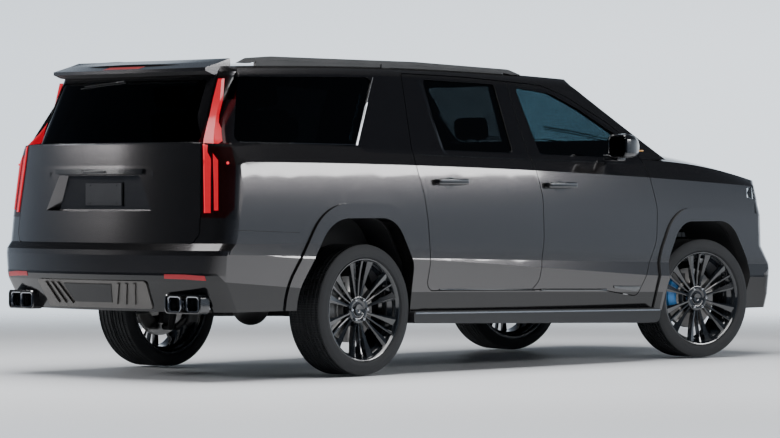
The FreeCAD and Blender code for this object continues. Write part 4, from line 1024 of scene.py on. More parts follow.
class SUV_OT_tail_trim(bpy.types.Operator):
    """Makes the plate, the skid plate's fins, the exhaust tips, the wiper and the line under the glass"""

    bl_idname = "suv.tail_trim"
    bl_label = "Tail trim"

    def execute(self, context):
        plate = metal("plate_metal", (0.045, 0.046, 0.050), 0.45)
        mesh = plastic("mesh_black", (0.020, 0.020, 0.021), 0.6, 120.0, 1.2)
        chrome = metal("dark_chrome", (0.30, 0.31, 0.33), 0.12)
        soot = plastic("soot", (0.010, 0.010, 0.010), 0.9)
        single("gate_button", self.button, satin_black(), "tailgate", slot="black_plastic")
        single("blank_plate", self.plate, plate, "tailgate", slot="black_plastic")
        single("skid_plate_fins", self.fins, skid_metal(), slot="black_plastic")
        single("skid_plate_mesh", self.skid_mesh, mesh, slot="black_plastic")
        on_both_sides("exhaust_tips", self.tips, chrome, slot="steel")
        on_both_sides("exhaust_tip_liners", self.liners, soot, slot="steel")
        on_both_sides("tip_surround", self.surround, gloss_black(), slot="black_gloss")
        single("rear_glass_line", self.glass_line, bright_trim(), "tailgate", slot="steel")
        single("rear_wiper", self.wiper, satin_black(), "tailgate", slot="black_plastic")
        return {"FINISHED"}

    @staticmethod
    def button(bm):
        """Opening pad under the gate's handle."""
        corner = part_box("gate_handle")[0]
        block(bm, (corner.x - 0.004, -BUTTON_HALF_WIDTH, corner.z + 0.004),
              (corner.x + 0.02, BUTTON_HALF_WIDTH, corner.z + 0.020), 0.004)

    @staticmethod
    def plate(bm):
        """Blank plate and the heads of its four screws."""
        half_y, half_z = trim_sizes().plate_width / 2, trim_sizes().plate_height / 2
        block(bm, (PLATE_X, -half_y, PLATE_Z - half_z), (PLATE_X + PLATE_THICKNESS, half_y, PLATE_Z + half_z),
              0.0015, 1)
        for y in (SCREW_FROM_SIDE - half_y, half_y - SCREW_FROM_SIDE):
            for z in (SCREW_FROM_EDGE - half_z, half_z - SCREW_FROM_EDGE):
                bmesh.ops.create_icosphere(bm, subdivisions=2, radius=SCREW_RADIUS,
                                           matrix=Matrix.Translation((PLATE_X, y, PLATE_Z + z)))

    @staticmethod
    def fins(bm):
        """Slanting fins on both sides of the skid plate's mesh."""
        for sign in (-1, 1):
            for index in range(trim_sizes().skid_fins):
                top, foot = 0.262 + index * 0.062, 0.190 + index * 0.072
                inner = tail_line((sign * top, FINS_TOP), (sign * foot, FINS_FOOT))
                outer = tail_line((sign * (top + 0.026), FINS_TOP), (sign * (foot + 0.018), FINS_FOOT))
                laid_strip(bm, ["rear_skid_plate"], inner, outer, TAIL_RAY, 0.012, 0.004, (8, 2), 0.002)

    @staticmethod
    def skid_mesh(bm):
        """Dark field between the skid plate's fins."""
        laid_strip(bm, ["rear_skid_plate"], tail_line((-0.215, 0.582), (0.215, 0.582)),
                   tail_line((-0.165, 0.470), (0.165, 0.470)), TAIL_RAY, 0.005, 0.004, (24, 8))

    @staticmethod
    def tips(bm):
        """Two square tubes with rounded corners and a rolled lip."""
        half_y, half_z = trim_sizes().tip_width / 2, trim_sizes().tip_height / 2
        for tip_y in TIP_CENTRES:
            mouth = tip_mouth(tip_y) - 0.002
            rings = []
            for inset, depth in ((-0.0015, TIP_LENGTH), (-0.0015, 0.006), (0.002, -0.001), (0.008, 0.0),
                                 (TIP_WALL, 0.008), (TIP_WALL, TIP_LENGTH)):
                ring = rounded_ring(half_y - inset, half_z - inset, TIP_CORNER - inset)
                rings.append([(mouth + depth, y - tip_y, z + TIP_Z) for y, z in ring])
            sleeve(bm, rings)

    @staticmethod
    def liners(bm):
        """Sooty plates that close the tips."""
        half_y, half_z = trim_sizes().tip_width / 2 - 0.0125, trim_sizes().tip_height / 2 - 0.0125
        for tip_y in TIP_CENTRES:
            ring = rounded_ring(half_y, half_z, 0.016)
            prism(bm, [(tip_mouth(tip_y) + 0.07, y - tip_y, z + TIP_Z) for y, z in ring], (0.004, 0, 0))

    @staticmethod
    def surround(bm):
        """Frame round both tips of a side."""
        rings = []
        for half_y, half_z, x in ((0.139, 0.058, -2.700), (0.139, 0.058, -2.772), (0.132, 0.052, -2.775),
                                  (0.130, 0.050, -2.700)):
            rings.append([(x - SURROUND_SWEEP * y, y - SURROUND_Y, z + SURROUND_Z)
                          for y, z in rounded_ring(half_y, half_z, TIP_CORNER)])
        sleeve(bm, rings)

    @staticmethod
    def glass_line(bm):
        """Bright line under the tailgate's glass."""
        foot, top = (tail_line((-GLASS_LINE_HALF, z), (GLASS_LINE_HALF, z))
                     for z in (GLASS_LINE_FOOT, GLASS_LINE_TOP))
        laid_strip(bm, ["tailgate"], foot, top, TAIL_RAY, 0.002, 0.003, (32, 1))

    @staticmethod
    def wiper(bm):
        """The arm, and the blade under it."""
        nodes = ["tailgate_glass", "tailgate"]
        laid_strip(bm, nodes, tail_line((-0.02, 1.815), (0.36, 1.790)),
                   tail_line((-0.02, 1.823), (0.36, 1.797)), TAIL_RAY, 0.014, -0.003, (16, 1))
        laid_strip(bm, nodes, tail_line((-0.03, 1.806), (0.40, 1.779)),
                   tail_line((-0.03, 1.812), (0.40, 1.784)), TAIL_RAY, 0.007, -0.001, (16, 1))


# Trim along the sides

FRONT_DOOR, REAR_DOOR = "front_door_{side}", "rear_door_{side}"
HANDLES = (("front_handle", FRONT_DOOR, "front_door_right", 0.366, 1.186),
           ("rear_handle", REAR_DOOR, "rear_door_right", -0.700, 1.206))
FOOT_HALF_LENGTH = 0.020
CUP_HALF_LENGTH, CUP_HALF_HEIGHT, CUP_DROP = 0.055, 0.040, 0.010

# Mirror housing, ring by ring: station, half width, half height, middle's y and z, corner radius
MIRROR_RINGS = ((0.846, 0.068, 0.064, 1.106, 1.441, 0.026), (0.837, 0.074, 0.070, 1.107, 1.443, 0.030),
                (0.842, 0.082, 0.077, 1.108, 1.444, 0.036), (0.870, 0.086, 0.081, 1.108, 1.445, 0.040),
                (0.930, 0.083, 0.077, 1.106, 1.443, 0.042), (0.985, 0.071, 0.062, 1.100, 1.438, 0.038),
                (1.030, 0.050, 0.040, 1.090, 1.430, 0.028), (1.055, 0.028, 0.018, 1.080, 1.424, 0.014))
MIRROR_ARM = ((0.872, -1.090, 1.345), (0.950, -0.950, 1.392))
MIRROR_GLASS_X, MIRROR_GLASS_Y, MIRROR_GLASS_Z = 0.8395, 1.106, 1.441

# Lines of the strips on the doors, as a slope, a station and the height there, and where each strip ends
BELT_LINE = (-0.0206, 0.0, 1.3560)
SILL_LINE = (-0.0197, -0.773, 0.516)
BELT_STRIP_HALF, SILL_STRIP_HEIGHT = 0.004, 0.012
BELT_STRIPS = (("rear_door_belt", REAR_DOOR, "rear_door_right", (0.120, -0.930)),
               ("front_door_belt", FRONT_DOOR, "front_door_right", (1.190, 0.155)))
SILL_STRIPS = (("rear_door_strip", REAR_DOOR, "rear_door_right", (-0.780, 0.130)),
               ("front_door_strip", FRONT_DOOR, "front_door_right", (0.190, 0.860)))

BOARD_REAR, BOARD_PITCH, BOARD_STRIP_LENGTH = -1.02, 0.0425, 0.026
BOARD_OUTER, BOARD_INNER, BOARD_HIGHEST = -1.018, -0.972, 0.44
RAIL_TOP = ((0.150, 1.9225), (-0.700, 1.951), (-2.000, 1.951), (-2.120, 1.940))
RAIL_OUTER, RAIL_MIDDLE, RAIL_WIDTH, RAIL_STEPS = -0.696, -0.684, 0.024, 24


class SUV_OT_side_trim(bpy.types.Operator):
    """Makes the door handles, the window lines, the strips, the mirrors and the roof rails' infill"""

    bl_idname = "suv.side_trim"
    bl_label = "Side trim"

    def execute(self, context):
        gloss, bright, dark = gloss_black(), bright_trim(), dark_trim()
        ribbed = rubber("board_rubber", (0.012, 0.012, 0.012))
        silver = metal("mirror_silver", (0.75, 0.77, 0.78), 0.02)
        amber = lens("turn_lamp", (0.5, 0.25, 0.05), (1, 0.4, 0.05), 0.2, 0.3)
        for name, body, node, x, z in HANDLES:
            on_both_sides(name, lambda bm: self.handle(bm, node, x, z), gloss, body, slot="black_gloss")
            on_both_sides(name + "_blade", lambda bm: self.blade(bm, node, x, z), dark, body, slot="steel")
            on_both_sides(name + "_cup", lambda bm: self.cup(bm, node, x, z), gloss, body, slot="black_gloss")
        on_both_sides("quarter_line", self.quarter_line, bright, slot="steel")
        for name, body, node, ends in BELT_STRIPS:
            on_both_sides(name, lambda bm: self.belt(bm, node, ends), dark, body, slot="steel")
        for name, body, node, ends in SILL_STRIPS:
            on_both_sides(name, lambda bm: self.sill_strip(bm, node, ends), dark, body, slot="steel")
        on_both_sides("front_door_vent", self.vent, dark, FRONT_DOOR, slot="steel")
        on_both_sides("board_strip", self.board_strip, bright, slot="steel")
        on_both_sides("board_tread", self.board_tread, ribbed, slot="black_plastic")
        for side in SIDES:
            on_side(side, "mirror_housing", self.mirror_housing, gloss, FRONT_DOOR, slot="black_gloss",
                    replaces=("mirror_{side}",))
            on_side(side, "mirror_glass", self.mirror_glass, silver, FRONT_DOOR, slot="black_gloss")
        on_both_sides("mirror_lamp", self.mirror_lamp, amber, FRONT_DOOR, slot="lamp_clear")
        on_both_sides("divider_bar", self.divider, gloss, REAR_DOOR, slot="black_gloss")
        on_both_sides("bumper_seam", self.seam, rough_black(), slot="black_plastic")
        on_both_sides("rail_infill", self.rail_infill, satin_black(), slot="black_gloss")
        return {"FINISHED"}

    @staticmethod
    def handle(bm, node, x, z):
        """The grip and its two feet."""
        half_x, half_z = trim_sizes().handle_length / 2, trim_sizes().handle_height / 2
        y = side_skin(node, x, z)
        block(bm, (x - half_x, y - 0.040, z - half_z), (x + half_x, y - 0.016, z + half_z), 0.010, 3)
        for middle in (x - half_x + 0.022, x + half_x - 0.022):
            rear, front = middle - FOOT_HALF_LENGTH, middle + FOOT_HALF_LENGTH
            block(bm, (rear, y - 0.022, z - 0.015), (front, y + 0.006, z + 0.015), 0.004)

    @staticmethod
    def blade(bm, node, x, z):
        """The bright inlay along the upper half of the grip."""
        half_x, half_z = trim_sizes().handle_length / 2 - 0.012, trim_sizes().handle_height / 2 - 0.0025
        y = side_skin(node, x, z)
        block(bm, (x - half_x, y - 0.0425, z + 0.002), (x + half_x, y - 0.036, z + half_z), 0.003)

    @staticmethod
    def cup(bm, node, x, z):
        """The dark oval in the door behind the grip."""
        bmesh.ops.create_circle(bm, cap_ends=True, segments=32, radius=1.0)
        rim = bm.faces[:]
        for vert in bm.verts:
            spot = (x + CUP_HALF_LENGTH * vert.co.x, BESIDE_Y, z - CUP_DROP + CUP_HALF_HEIGHT * vert.co.y)
            vert.co = dropped([node], spot, SIDE_RAY) + Vector((0, -0.0015, 0))
        pull(bm, rim, (0, 0.004, 0))

    @staticmethod
    def quarter_line(bm):
        """Bright line along the foot of the rearmost window and up its front edge."""
        nodes = ["body_side_right", "quarter_glass"]
        laid_strip(bm, nodes, side_line((-2.470, 1.4385), (-1.461, 1.4300)),
                   side_line((-2.470, 1.4440), (-1.461, 1.4355)), SIDE_RAY, 0.003, 0.003, (24, 1))
        laid_strip(bm, nodes, side_line((-1.456, 1.4300), (-1.152, 1.8620)),
                   side_line((-1.460, 1.4320), (-1.1560, 1.8620)), SIDE_RAY, 0.003, 0.003, (16, 1))

    @staticmethod
    def belt(bm, node, ends):
        """Strip along the foot of a door's window."""
        foot, top = (side_line(*((x, edge_height(x, BELT_LINE) + rise) for x in ends))
                     for rise in (-BELT_STRIP_HALF, BELT_STRIP_HALF))
        laid_strip(bm, [node], foot, top, SIDE_RAY, 0.003, 0.003, (24, 1))

    @staticmethod
    def sill_strip(bm, node, ends):
        """Raised strip low on a door."""
        foot, top = (side_line(*((x, edge_height(x, SILL_LINE) + rise) for x in ends))
                     for rise in (0.0, SILL_STRIP_HEIGHT))
        laid_strip(bm, [node], foot, top, SIDE_RAY, 0.005, 0.003, (24, 2), 0.002)

    @staticmethod
    def vent(bm):
        """Wedge that ends the strip behind the front wheel."""
        laid_strip(bm, ["front_door_right"], side_line((0.935, 0.500), (1.160, 0.474)),
                   side_line((0.925, 0.514), (1.235, 0.506)), SIDE_RAY, 0.006, 0.003, (16, 3), 0.002)

    @staticmethod
    def board_strip(bm):
        """Bright line along the running board's outer face."""
        foot = [(-1.045, -1.03, 0.376), (1.385, -1.03, 0.340)]
        top = [(-1.045, -1.03, 0.385), (1.385, -1.03, 0.349)]
        laid_strip(bm, ["running_boards"], foot, top, SIDE_RAY, 0.002, 0.003, (24, 1))

    @staticmethod
    def board_tread(bm):
        """Rubber strips across the step."""
        for index in range(trim_sizes().tread_strips):
            x = BOARD_REAR + index * BOARD_PITCH
            top = dropped(["running_boards"], (x, -0.990, 0.45), DOWN_RAY).z
            if top < BOARD_HIGHEST:
                block(bm, (x, BOARD_OUTER, top - 0.002), (x + BOARD_STRIP_LENGTH, BOARD_INNER, top + 0.003))

    @staticmethod
    def mirror_housing(bm):
        """Rounded housing, and the arm that holds it."""
        rings = []
        for x, half_y, half_z, centre_y, centre_z, radius in MIRROR_RINGS:
            rings.append([(x, y - centre_y, centre_z + z) for y, z in rounded_ring(half_y, half_z, radius)])
        sleeve(bm, rings, False)
        close_ends(bm)
        block(bm, *MIRROR_ARM, 0.012, 3)

    @staticmethod
    def mirror_glass(bm):
        """Silvered glass in the housing's rear."""
        ring = rounded_ring(0.066, 0.062, 0.024)
        prism(bm, [(MIRROR_GLASS_X, y - MIRROR_GLASS_Y, z + MIRROR_GLASS_Z) for y, z in ring], (0.006, 0, 0))

    @staticmethod
    def mirror_lamp(bm):
        """Turn lamp along the housing's front."""
        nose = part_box("mirror_right")[1].x
        foot = [(nose - 0.03, -1.06, 1.410), (nose - 0.10, -1.16, 1.412)]
        top = [(nose - 0.03, -1.06, 1.418), (nose - 0.10, -1.16, 1.420)]
        laid_strip(bm, ["mirror_right"], foot, top, (-0.75, 0.65, 0), 0.002, 0.003, (12, 1))

    @staticmethod
    def divider(bm):
        """Upright bar in the rear door's window."""
        front = side_line((-0.655, 1.382), (-0.720, 1.850))
        rear = side_line((-0.687, 1.382), (-0.748, 1.850))
        nodes = ["rear_door_right", "rear_door_glass_right"]
        laid_strip(bm, nodes, front, rear, SIDE_RAY, 0.002, 0.003, (16, 1))

    @staticmethod
    def seam(bm):
        """Dark joint between the rear bumper and the body side."""
        laid_strip(bm, ["body_side_right", "rear_bumper"], side_line((-2.590, 0.9105), (-2.060, 0.8925)),
                   side_line((-2.590, 0.9140), (-2.060, 0.8960)), SIDE_RAY, 0.0006, 0.003, (24, 1))

    @staticmethod
    def rail_infill(bm):
        """Web that closes the space between a roof rail and the roof."""
        rear, front = RAIL_TOP[-1][0], RAIL_TOP[0][0]
        foot = []
        for step in range(RAIL_STEPS):
            x = rear + (front - rear) * step / (RAIL_STEPS - 1)
            foot.append((x, dropped(["roof_panel"], (x, RAIL_MIDDLE, 1.93), DOWN_RAY, 0.03).z - 0.004))
        prism(bm, [(x, RAIL_OUTER, z) for x, z in (*RAIL_TOP, *foot)], (0, RAIL_WIDTH, 0))


# Front lamps, grille and wipers

LAMP_COUNT, LAMP_PITCH, LAMP_INNER_Y, LAMP_HALF_WIDTH = 4, 0.070, -0.640, 0.024
LAMP_FOOT, LAMP_TOP = 1.118, 1.146
MESH_ROWS, MESH_ROW_PITCH, MESH_FOOT = 8, 0.056, 0.667
MESH_COLUMNS, MESH_COLUMN_PITCH, MESH_SIDE, MESH_LEAST_X = 26, 0.040, -0.500, 2.5
FRAME_OUTER, FRAME_INNER, FRAME_FOOT, FRAME_TOP, FRAME_WIDTH = 0.552, 0.540, 0.632, 1.166, 0.012
WIPER_ARMS = (((1.545, -0.66), (1.395, 0.02)), ((1.560, 0.05), (1.405, 0.66)))
WIPER_BARS = ((0.022, 0.010, 0.0), (0.010, 0.005, 0.010))
ABOVE_GLASS = 1.5


class SUV_OT_front_trim(bpy.types.Operator):
    """Makes the running lights, the lamp elements, the grille's mesh and frame, and the wipers"""

    bl_idname = "suv.front_trim"
    bl_label = "Front trim"

    def execute(self, context):
        white = lens("running_light", (0.7, 0.75, 0.8), (0.85, 0.93, 1.0), looks().front_glow, 0.3)
        on_both_sides("running_light", self.running_light, white, slot="lamp_clear")
        on_both_sides("lamp_elements", self.elements, white, slot="lamp_clear")
        on_both_sides("lamp_backing", self.backing, gloss_black(), slot="black_gloss")
        single("grille_mesh", self.mesh, satin_black(), slot="black_gloss")
        single("grille_surround", self.surround, bright_trim(), slot="steel")
        single("front_wipers", self.wipers, satin_black(), slot="black_plastic")
        return {"FINISHED"}

    @staticmethod
    def running_light(bm):
        """Upright light below the head lamp."""
        inner = [(2.62, -0.925, 1.060), (2.65, -0.905, 0.900), (2.66, -0.890, 0.740)]
        outer = [(2.60, -0.945, 1.060), (2.63, -0.925, 0.900), (2.64, -0.910, 0.740)]
        laid_strip(bm, ["front_bumper", "head_lamps"], inner, outer, (-0.7, 0.7, 0), 0.004, 0.004, (24, 2),
                   0.002)

    @staticmethod
    def elements(bm):
        """A row of small rectangular lamps."""
        for index in range(LAMP_COUNT):
            middle = LAMP_INNER_Y - LAMP_PITCH * index
            outer, inner = middle - LAMP_HALF_WIDTH, middle + LAMP_HALF_WIDTH
            foot, top = (nose_line((outer, z), (inner, z)) for z in (LAMP_FOOT, LAMP_TOP))
            laid_strip(bm, ["head_lamps"], foot, top, NOSE_RAY, 0.003, 0.003, (4, 3), 0.004)

    @staticmethod
    def backing(bm):
        """Dark field behind the row of lamps."""
        laid_strip(bm, ["head_lamps"], nose_line((-0.600, 1.104), (-0.860, 1.104)),
                   nose_line((-0.600, 1.160), (-0.860, 1.160)), NOSE_RAY, 0.0015, 0.003, (16, 3))

    @staticmethod
    def mesh(bm):
        """Upright bars behind the grille's slats."""
        for row in range(MESH_ROWS):
            z = MESH_FOOT + row * MESH_ROW_PITCH
            for column in range(MESH_COLUMNS):
                y = MESH_SIDE + column * MESH_COLUMN_PITCH
                nose = dropped(["grille"], (AHEAD_X, y, z + MESH_ROW_PITCH / 2), NOSE_RAY).x
                if nose >= MESH_LEAST_X:
                    block(bm, (nose - 0.060, y - 0.004, z - 0.022), (nose - 0.020, y + 0.004, z + 0.026))

    @staticmethod
    def surround(bm):
        """Bright frame round the grille."""
        nodes = ["grille", "front_bumper", "head_lamps"]
        for sign in (-1, 1):
            outer, inner = (nose_line((sign * y, 0.640), (sign * y, 1.165))
                            for y in (FRAME_OUTER, FRAME_INNER))
            laid_strip(bm, nodes, outer, inner, NOSE_RAY, 0.004, 0.004, (12, 1))
        for z in (FRAME_FOOT, FRAME_TOP):
            foot, top = (nose_line((-FRAME_OUTER, edge), (FRAME_OUTER, edge))
                         for edge in (z, z + FRAME_WIDTH))
            laid_strip(bm, nodes, foot, top, NOSE_RAY, 0.004, 0.004, (32, 1))

    @staticmethod
    def wipers(bm):
        """Two arms, each with its blade below and ahead of it."""
        nodes = ["windscreen", "firewall", "hood"]
        for start, end in WIPER_ARMS:
            for lift, width, shift in WIPER_BARS:
                rear, front = ([(x + ahead, y, ABOVE_GLASS) for x, y in (start, end)]
                               for ahead in (shift, shift + width))
                laid_strip(bm, nodes, rear, front, DOWN_RAY, lift, 0.004 - lift, (20, 1))


# Cabin

CABIN_FLOOR = 0.5203
ROWS = (("front_seats", 0.140, 0.0, (-0.40, 0.40)), ("middle_seats", -0.830, 0.0, (-0.40, 0.40)),
        ("rear_seats", -1.830, 0.180, (-0.40, 0.0, 0.40)))
SCREEN = ((1.030, -0.26, 1.235), (1.062, 0.66, 1.375))
CONSOLE = ((0.20, -0.11, 0.53), (1.00, 0.11, 0.80))
ARMREST = ((0.16, -0.10, 0.78), (0.46, 0.10, 0.86))
BACK_THICKNESS, HEADREST_THICKNESS, HEADREST_HALF_WIDTH = 0.115, 0.095, 0.125
CUSHION_REAR, CUSHION_FRONT, CUSHION_FOOT, CUSHION_TOP = 0.08, 0.712, 0.10, 0.286
POST_OFFSET = 0.05


class SUV_OT_cabin(bpy.types.Operator):
    """Makes the upholstered seats, the screen and the console"""

    bl_idname = "suv.cabin"
    bl_label = "Cabin"

    def execute(self, context):
        sizes = context.scene.suv_cabin
        for row, x, lift, seats in ROWS:
            width = sizes.seat_width if len(seats) == 2 else sizes.third_row_width
            for index, y in enumerate(seats):
                made = single(f"{row[:-1]}_pad_{index + 1}",
                              lambda bm: self.seat(bm, sizes, (x, y, CABIN_FLOOR + lift), width),
                              seat_leather(), slot="leather", replaces=(row,))
        screen = plastic("screen_glass", (0.006, 0.007, 0.010), 0.06, 500.0, 0.02, 1.0)
        single("dashboard_screen", lambda bm: block(bm, *SCREEN, 0.008), screen, slot="black_gloss")
        single("centre_console", self.console, satin_black(), slot="leather")
        return {"FINISHED"}

    @staticmethod
    def console(bm):
        """Console between the front seats, and the armrest on it."""
        block(bm, *CONSOLE, 0.02, 3)
        block(bm, *ARMREST, 0.02, 3)

    @staticmethod
    def seat(bm, sizes, place, width):
        """Cushion on its plinth, and a leaning backrest with its headrest on two posts."""
        x, y, floor = place
        half = width / 2
        block(bm, (x + CUSHION_REAR, y - half, floor + CUSHION_FOOT),
              (x + CUSHION_FRONT, y + half, floor + CUSHION_TOP), 0.05, 4)
        back = bmesh.new()
        top = sizes.back_height
        block(back, (0.0, y - half, 0.0), (BACK_THICKNESS, y + half, top), 0.045, 4)
        block(back, (0.0, y - HEADREST_HALF_WIDTH, top + 0.020),
              (HEADREST_THICKNESS, y + HEADREST_HALF_WIDTH, top + 0.165), 0.035, 4)
        for post_y in (y - POST_OFFSET, y + POST_OFFSET):
            block(back, (0.040, post_y - 0.006, top - 0.015), (0.052, post_y + 0.006, top + 0.035))
        lean = Matrix.Rotation(-sizes.recline, 4, "Y")
        foot = Matrix.Translation((x + BACK_THICKNESS, 0, floor + 0.215))
        bmesh.ops.transform(back, matrix=foot @ lean, verts=back.verts)
        repeated(bm, back, 1)
        block(bm, (x + 0.14, y - half + 0.06, floor), (x + 0.62, y + half - 0.06, floor + 0.11), 0.012)


# Finishes of the CAD solids

class SUV_OT_finishes(bpy.types.Operator):
    """Gives every solid of the frame its finish"""

    bl_idname = "suv.finishes"
    bl_label = "Finishes of the solids"

    def execute(self, context):
        choices = {}
        for material, stems in (
                (paint(), ("body_side", "roof_panel", "front_fenders", "front_bumper", "hood", "rear_bumper",
                           "tailgate", "front_door", "rear_door", "roof_spoiler")),
                (gloss_black(), ("grille", "mirror", "gate_handle")),
                (satin_black(), ("roof_rails", "running_boards", "centre_pillars")),
                (rough_black(), ("firewall", "wheel_liners")),
                (glass("privacy_glass", (0.018, 0.022, 0.025)),
                 ("rear_door_glass", "quarter_glass", "tailgate_glass")),
                (glass("door_glass", (0.045, 0.085, 0.105)), ("front_door_glass",)),
                (glass("windscreen_glass", (0.62, 0.72, 0.74)), ("windscreen",)),
                (glass("lamp_lens", (0.75, 0.78, 0.8)), ("head_lamps",)),
                (plastic("lamp_housing", (0.010, 0.001, 0.001), 0.2), ("tail_lamps",)),
                (metal("cast_iron_parts", (0.10, 0.10, 0.10), 0.55),
                 ("suspension_arms", "drive_line", "engine_block", "rear_knuckles", "steering_knuckle")),
                (metal("frame_steel", (0.030, 0.030, 0.032), 0.5), ("ladder_frame",)),
                (metal("exhaust_steel", (0.07, 0.068, 0.066), 0.4), ("exhaust",)),
                (skid_metal(), ("rear_skid_plate",)),
                (seat_leather(),
                 ("dashboard", "front_seats", "middle_seats", "rear_seats", "steering_wheel")),
                (carpet("floor_carpet", (0.02, 0.02, 0.02)), ("floor_pan",))):
            choices.update(dict.fromkeys(stems, material))
        for node, thing in NODES.items():
            stem = node.removesuffix("_right").removesuffix("_left")
            thing.data.materials.clear()
            thing.data.materials.append(choices.get(stem, rough_black()))
        return {"FINISHED"}


# Floor, lights, world and camera

FLOOR_FADE_START, FLOOR_FADE_END = 0.34, 0.86
CAMERA_PLACE = (-17.662, -16.386, 1.141)
CAMERA_YAW = math.radians(46.849)
CAMERA_PITCH = math.radians(-0.430)
SENSOR_WIDTH, FAR_LIMIT = 36.0, 300.0

# The world's colour is the product of three ramps, by how far a direction points up, ahead and left
WORLD_HEIGHTS = ((-1.0, (0.60, 0.67, 0.74)), (0.04, (0.86, 0.93, 1.0)), (0.12, (0.62, 0.68, 0.75)),
                 (0.28, (0.10, 0.115, 0.135)), (0.50, (0.035, 0.04, 0.05)), (1.0, (0.02, 0.025, 0.03)))
WORLD_LENGTHS = ((-0.75, (0.04, 0.045, 0.055)), (-0.1, (0.22, 0.24, 0.27)), (0.50, (0.66, 0.70, 0.74)),
                 (0.82, (1.0, 1.0, 1.0)))
WORLD_SIDES = ((-1.0, (0.30, 0.32, 0.35)), (-0.45, (0.36, 0.38, 0.41)), (0.35, (1.0, 1.0, 1.0)))

# Each light's name, place, aim, size and power
LIGHTS = (
    ("overhead_softbox", (-2.0, -1.0, 8.0), (-2.0, -1.0, 0), (9.0, 7.0), 1300),
    ("rear_left_softbox", (-6.5, 5.0, 3.0), (-2.0, 0, 1.0), (3.4, 0.8), 190),
    ("side_strip", (2.5, -6.5, 2.4), (1.0, 0, 1.0), (7.0, 0.35), 150),
)


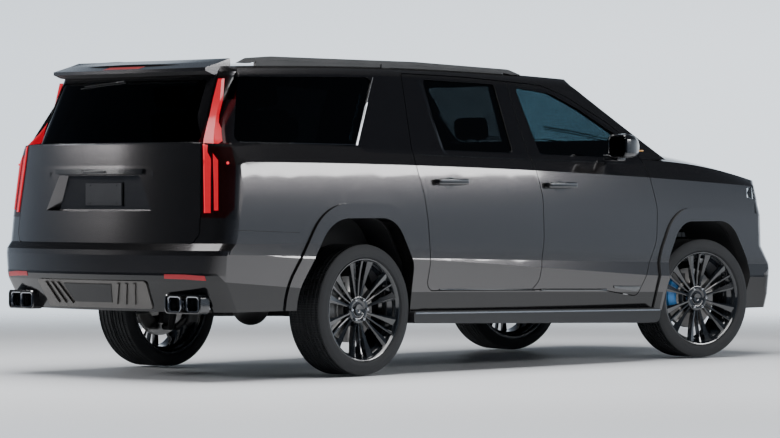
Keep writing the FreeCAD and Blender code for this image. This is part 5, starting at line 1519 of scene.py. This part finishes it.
class SUV_OT_stage(bpy.types.Operator):
    """Sets the floor, the lights, the world and the camera"""

    bl_idname = "suv.stage"
    bl_label = "Floor, lights and camera"

    def execute(self, context):
        sizes = context.scene.suv_studio
        self.floor(sizes.floor_radius)
        self.world(sizes.backdrop)
        self.lights()
        self.camera(sizes.focal_length)
        return {"FINISHED"}

    @staticmethod
    def floor(radius):
        """Pale disc that fades into the world towards its edge."""
        bm = bmesh.new()
        bmesh.ops.create_circle(bm, cap_ends=True, segments=96, radius=radius)
        finish = Finish("studio_floor")
        speckle = finish.noise(30.0, 4.0)
        reach = finish.node("ShaderNodeVectorMath", {"operation": "LENGTH"}, {0: finish.place()},
                            output="Value")
        fade = finish.node("ShaderNodeMapRange", {"interpolation_type": "SMOOTHSTEP"},
                           {"Value": reach, "From Min": radius * FLOOR_FADE_START,
                            "From Max": radius * FLOOR_FADE_END, "To Min": 1.0, "To Max": 0.0})
        shade = finish.blend(speckle, (0.80, 0.82, 0.85), (0.86, 0.87, 0.89))
        bm_object("floor", bm, finish.surface(Base_Color=shade, Roughness=0.55, Alpha=fade))

    @staticmethod
    def world(strength):
        """Bright low horizon ahead of the camera, dark above and behind it."""
        world = bpy.data.worlds.new("studio")
        world.use_nodes = True
        bpy.context.scene.world = world
        graph = Graph(world.node_tree)
        direction = graph.node("ShaderNodeTexCoord", output="Generated")
        shown = (1.0, 1.0, 1.0)
        for axis, bands in (("Z", WORLD_HEIGHTS), ("X", WORLD_LENGTHS), ("Y", WORLD_SIDES)):
            along = graph.node("ShaderNodeSeparateXYZ", None, {"Vector": direction}, output=axis)
            position = graph.node("ShaderNodeMapRange", None, {"Value": along, "From Min": -1.0})
            stops = [(0.5 + reach / 2, colour) for reach, colour in bands]
            shade = graph.node("ShaderNodeValToRGB", {"stops": stops}, {"Fac": position})
            shown = graph.vectors("MULTIPLY", shown, shade)
        background = world.node_tree.nodes["Background"]
        graph.feed(background.inputs["Color"], shown)
        graph.feed(background.inputs["Strength"], strength)

    @staticmethod
    def lights():
        """Softboxes over and beside the car."""
        for name, place, aim, size, power in LIGHTS:
            data = bpy.data.lights.new(name, "AREA")
            data.shape = "RECTANGLE"
            data.size, data.size_y = size
            data.energy = power
            lamp = bpy.data.objects.new(name, data)
            lamp.location = place
            lamp.rotation_mode = "QUATERNION"
            lamp.rotation_quaternion = (Vector(aim) - Vector(place)).to_track_quat("-Z", "Y")
            bpy.context.scene.collection.objects.link(lamp)

    @staticmethod
    def camera(focal_length):
        """Camera at the photo's viewpoint."""
        data = bpy.data.cameras.new("camera")
        data.lens = focal_length
        data.sensor_width = SENSOR_WIDTH
        data.clip_end = FAR_LIMIT
        eye = bpy.data.objects.new("camera", data)
        level = math.cos(CAMERA_PITCH)
        forward = Vector((math.sin(CAMERA_YAW) * level, math.cos(CAMERA_YAW) * level, math.sin(CAMERA_PITCH)))
        eye.location = CAMERA_PLACE
        eye.rotation_mode = "QUATERNION"
        eye.rotation_quaternion = forward.to_track_quat("-Z", "Y")
        bpy.context.scene.collection.objects.link(eye)
        bpy.context.scene.camera = eye


# Panel and registration

class SUV_PT_panel(bpy.types.Panel):
    """Lists the sizes and the operators in the sidebar"""

    bl_idname = "SUV_PT_panel"
    bl_label = "Full-size suv"
    bl_space_type = "VIEW_3D"
    bl_region_type = "UI"
    bl_category = "Suv"

    def draw(self, context):
        for attribute, group in GROUPS.items():
            box = self.layout.box()
            for name in group.__annotations__:
                box.prop(getattr(context.scene, attribute), name)
        for operator in OPERATORS:
            self.layout.operator(operator.bl_idname)


OPERATORS = (SUV_OT_finishes, SUV_OT_wheels, SUV_OT_tail_lamps, SUV_OT_tail_trim, SUV_OT_side_trim,
             SUV_OT_front_trim, SUV_OT_cabin, SUV_OT_stage)
GROUPS = {"suv_looks": SuvLooks, "suv_wheels": SuvWheels, "suv_trim": SuvTrim, "suv_cabin": SuvCabin,
          "suv_studio": SuvStudio}
CLASSES = (*GROUPS.values(), *OPERATORS, SUV_PT_panel)


def register():
    for made in CLASSES:
        bpy.utils.register_class(made)
    for name, group in GROUPS.items():
        setattr(bpy.types.Scene, name, PointerProperty(type=group))


def unregister():
    for name in GROUPS:
        delattr(bpy.types.Scene, name)
    for made in reversed(CLASSES):
        bpy.utils.unregister_class(made)


def main():
    """Builds everything in order."""
    register()
    for operator in OPERATORS:
        category, name = operator.bl_idname.split(".")
        getattr(getattr(bpy.ops, category), name)()


if __name__ == "__main__":
    main()
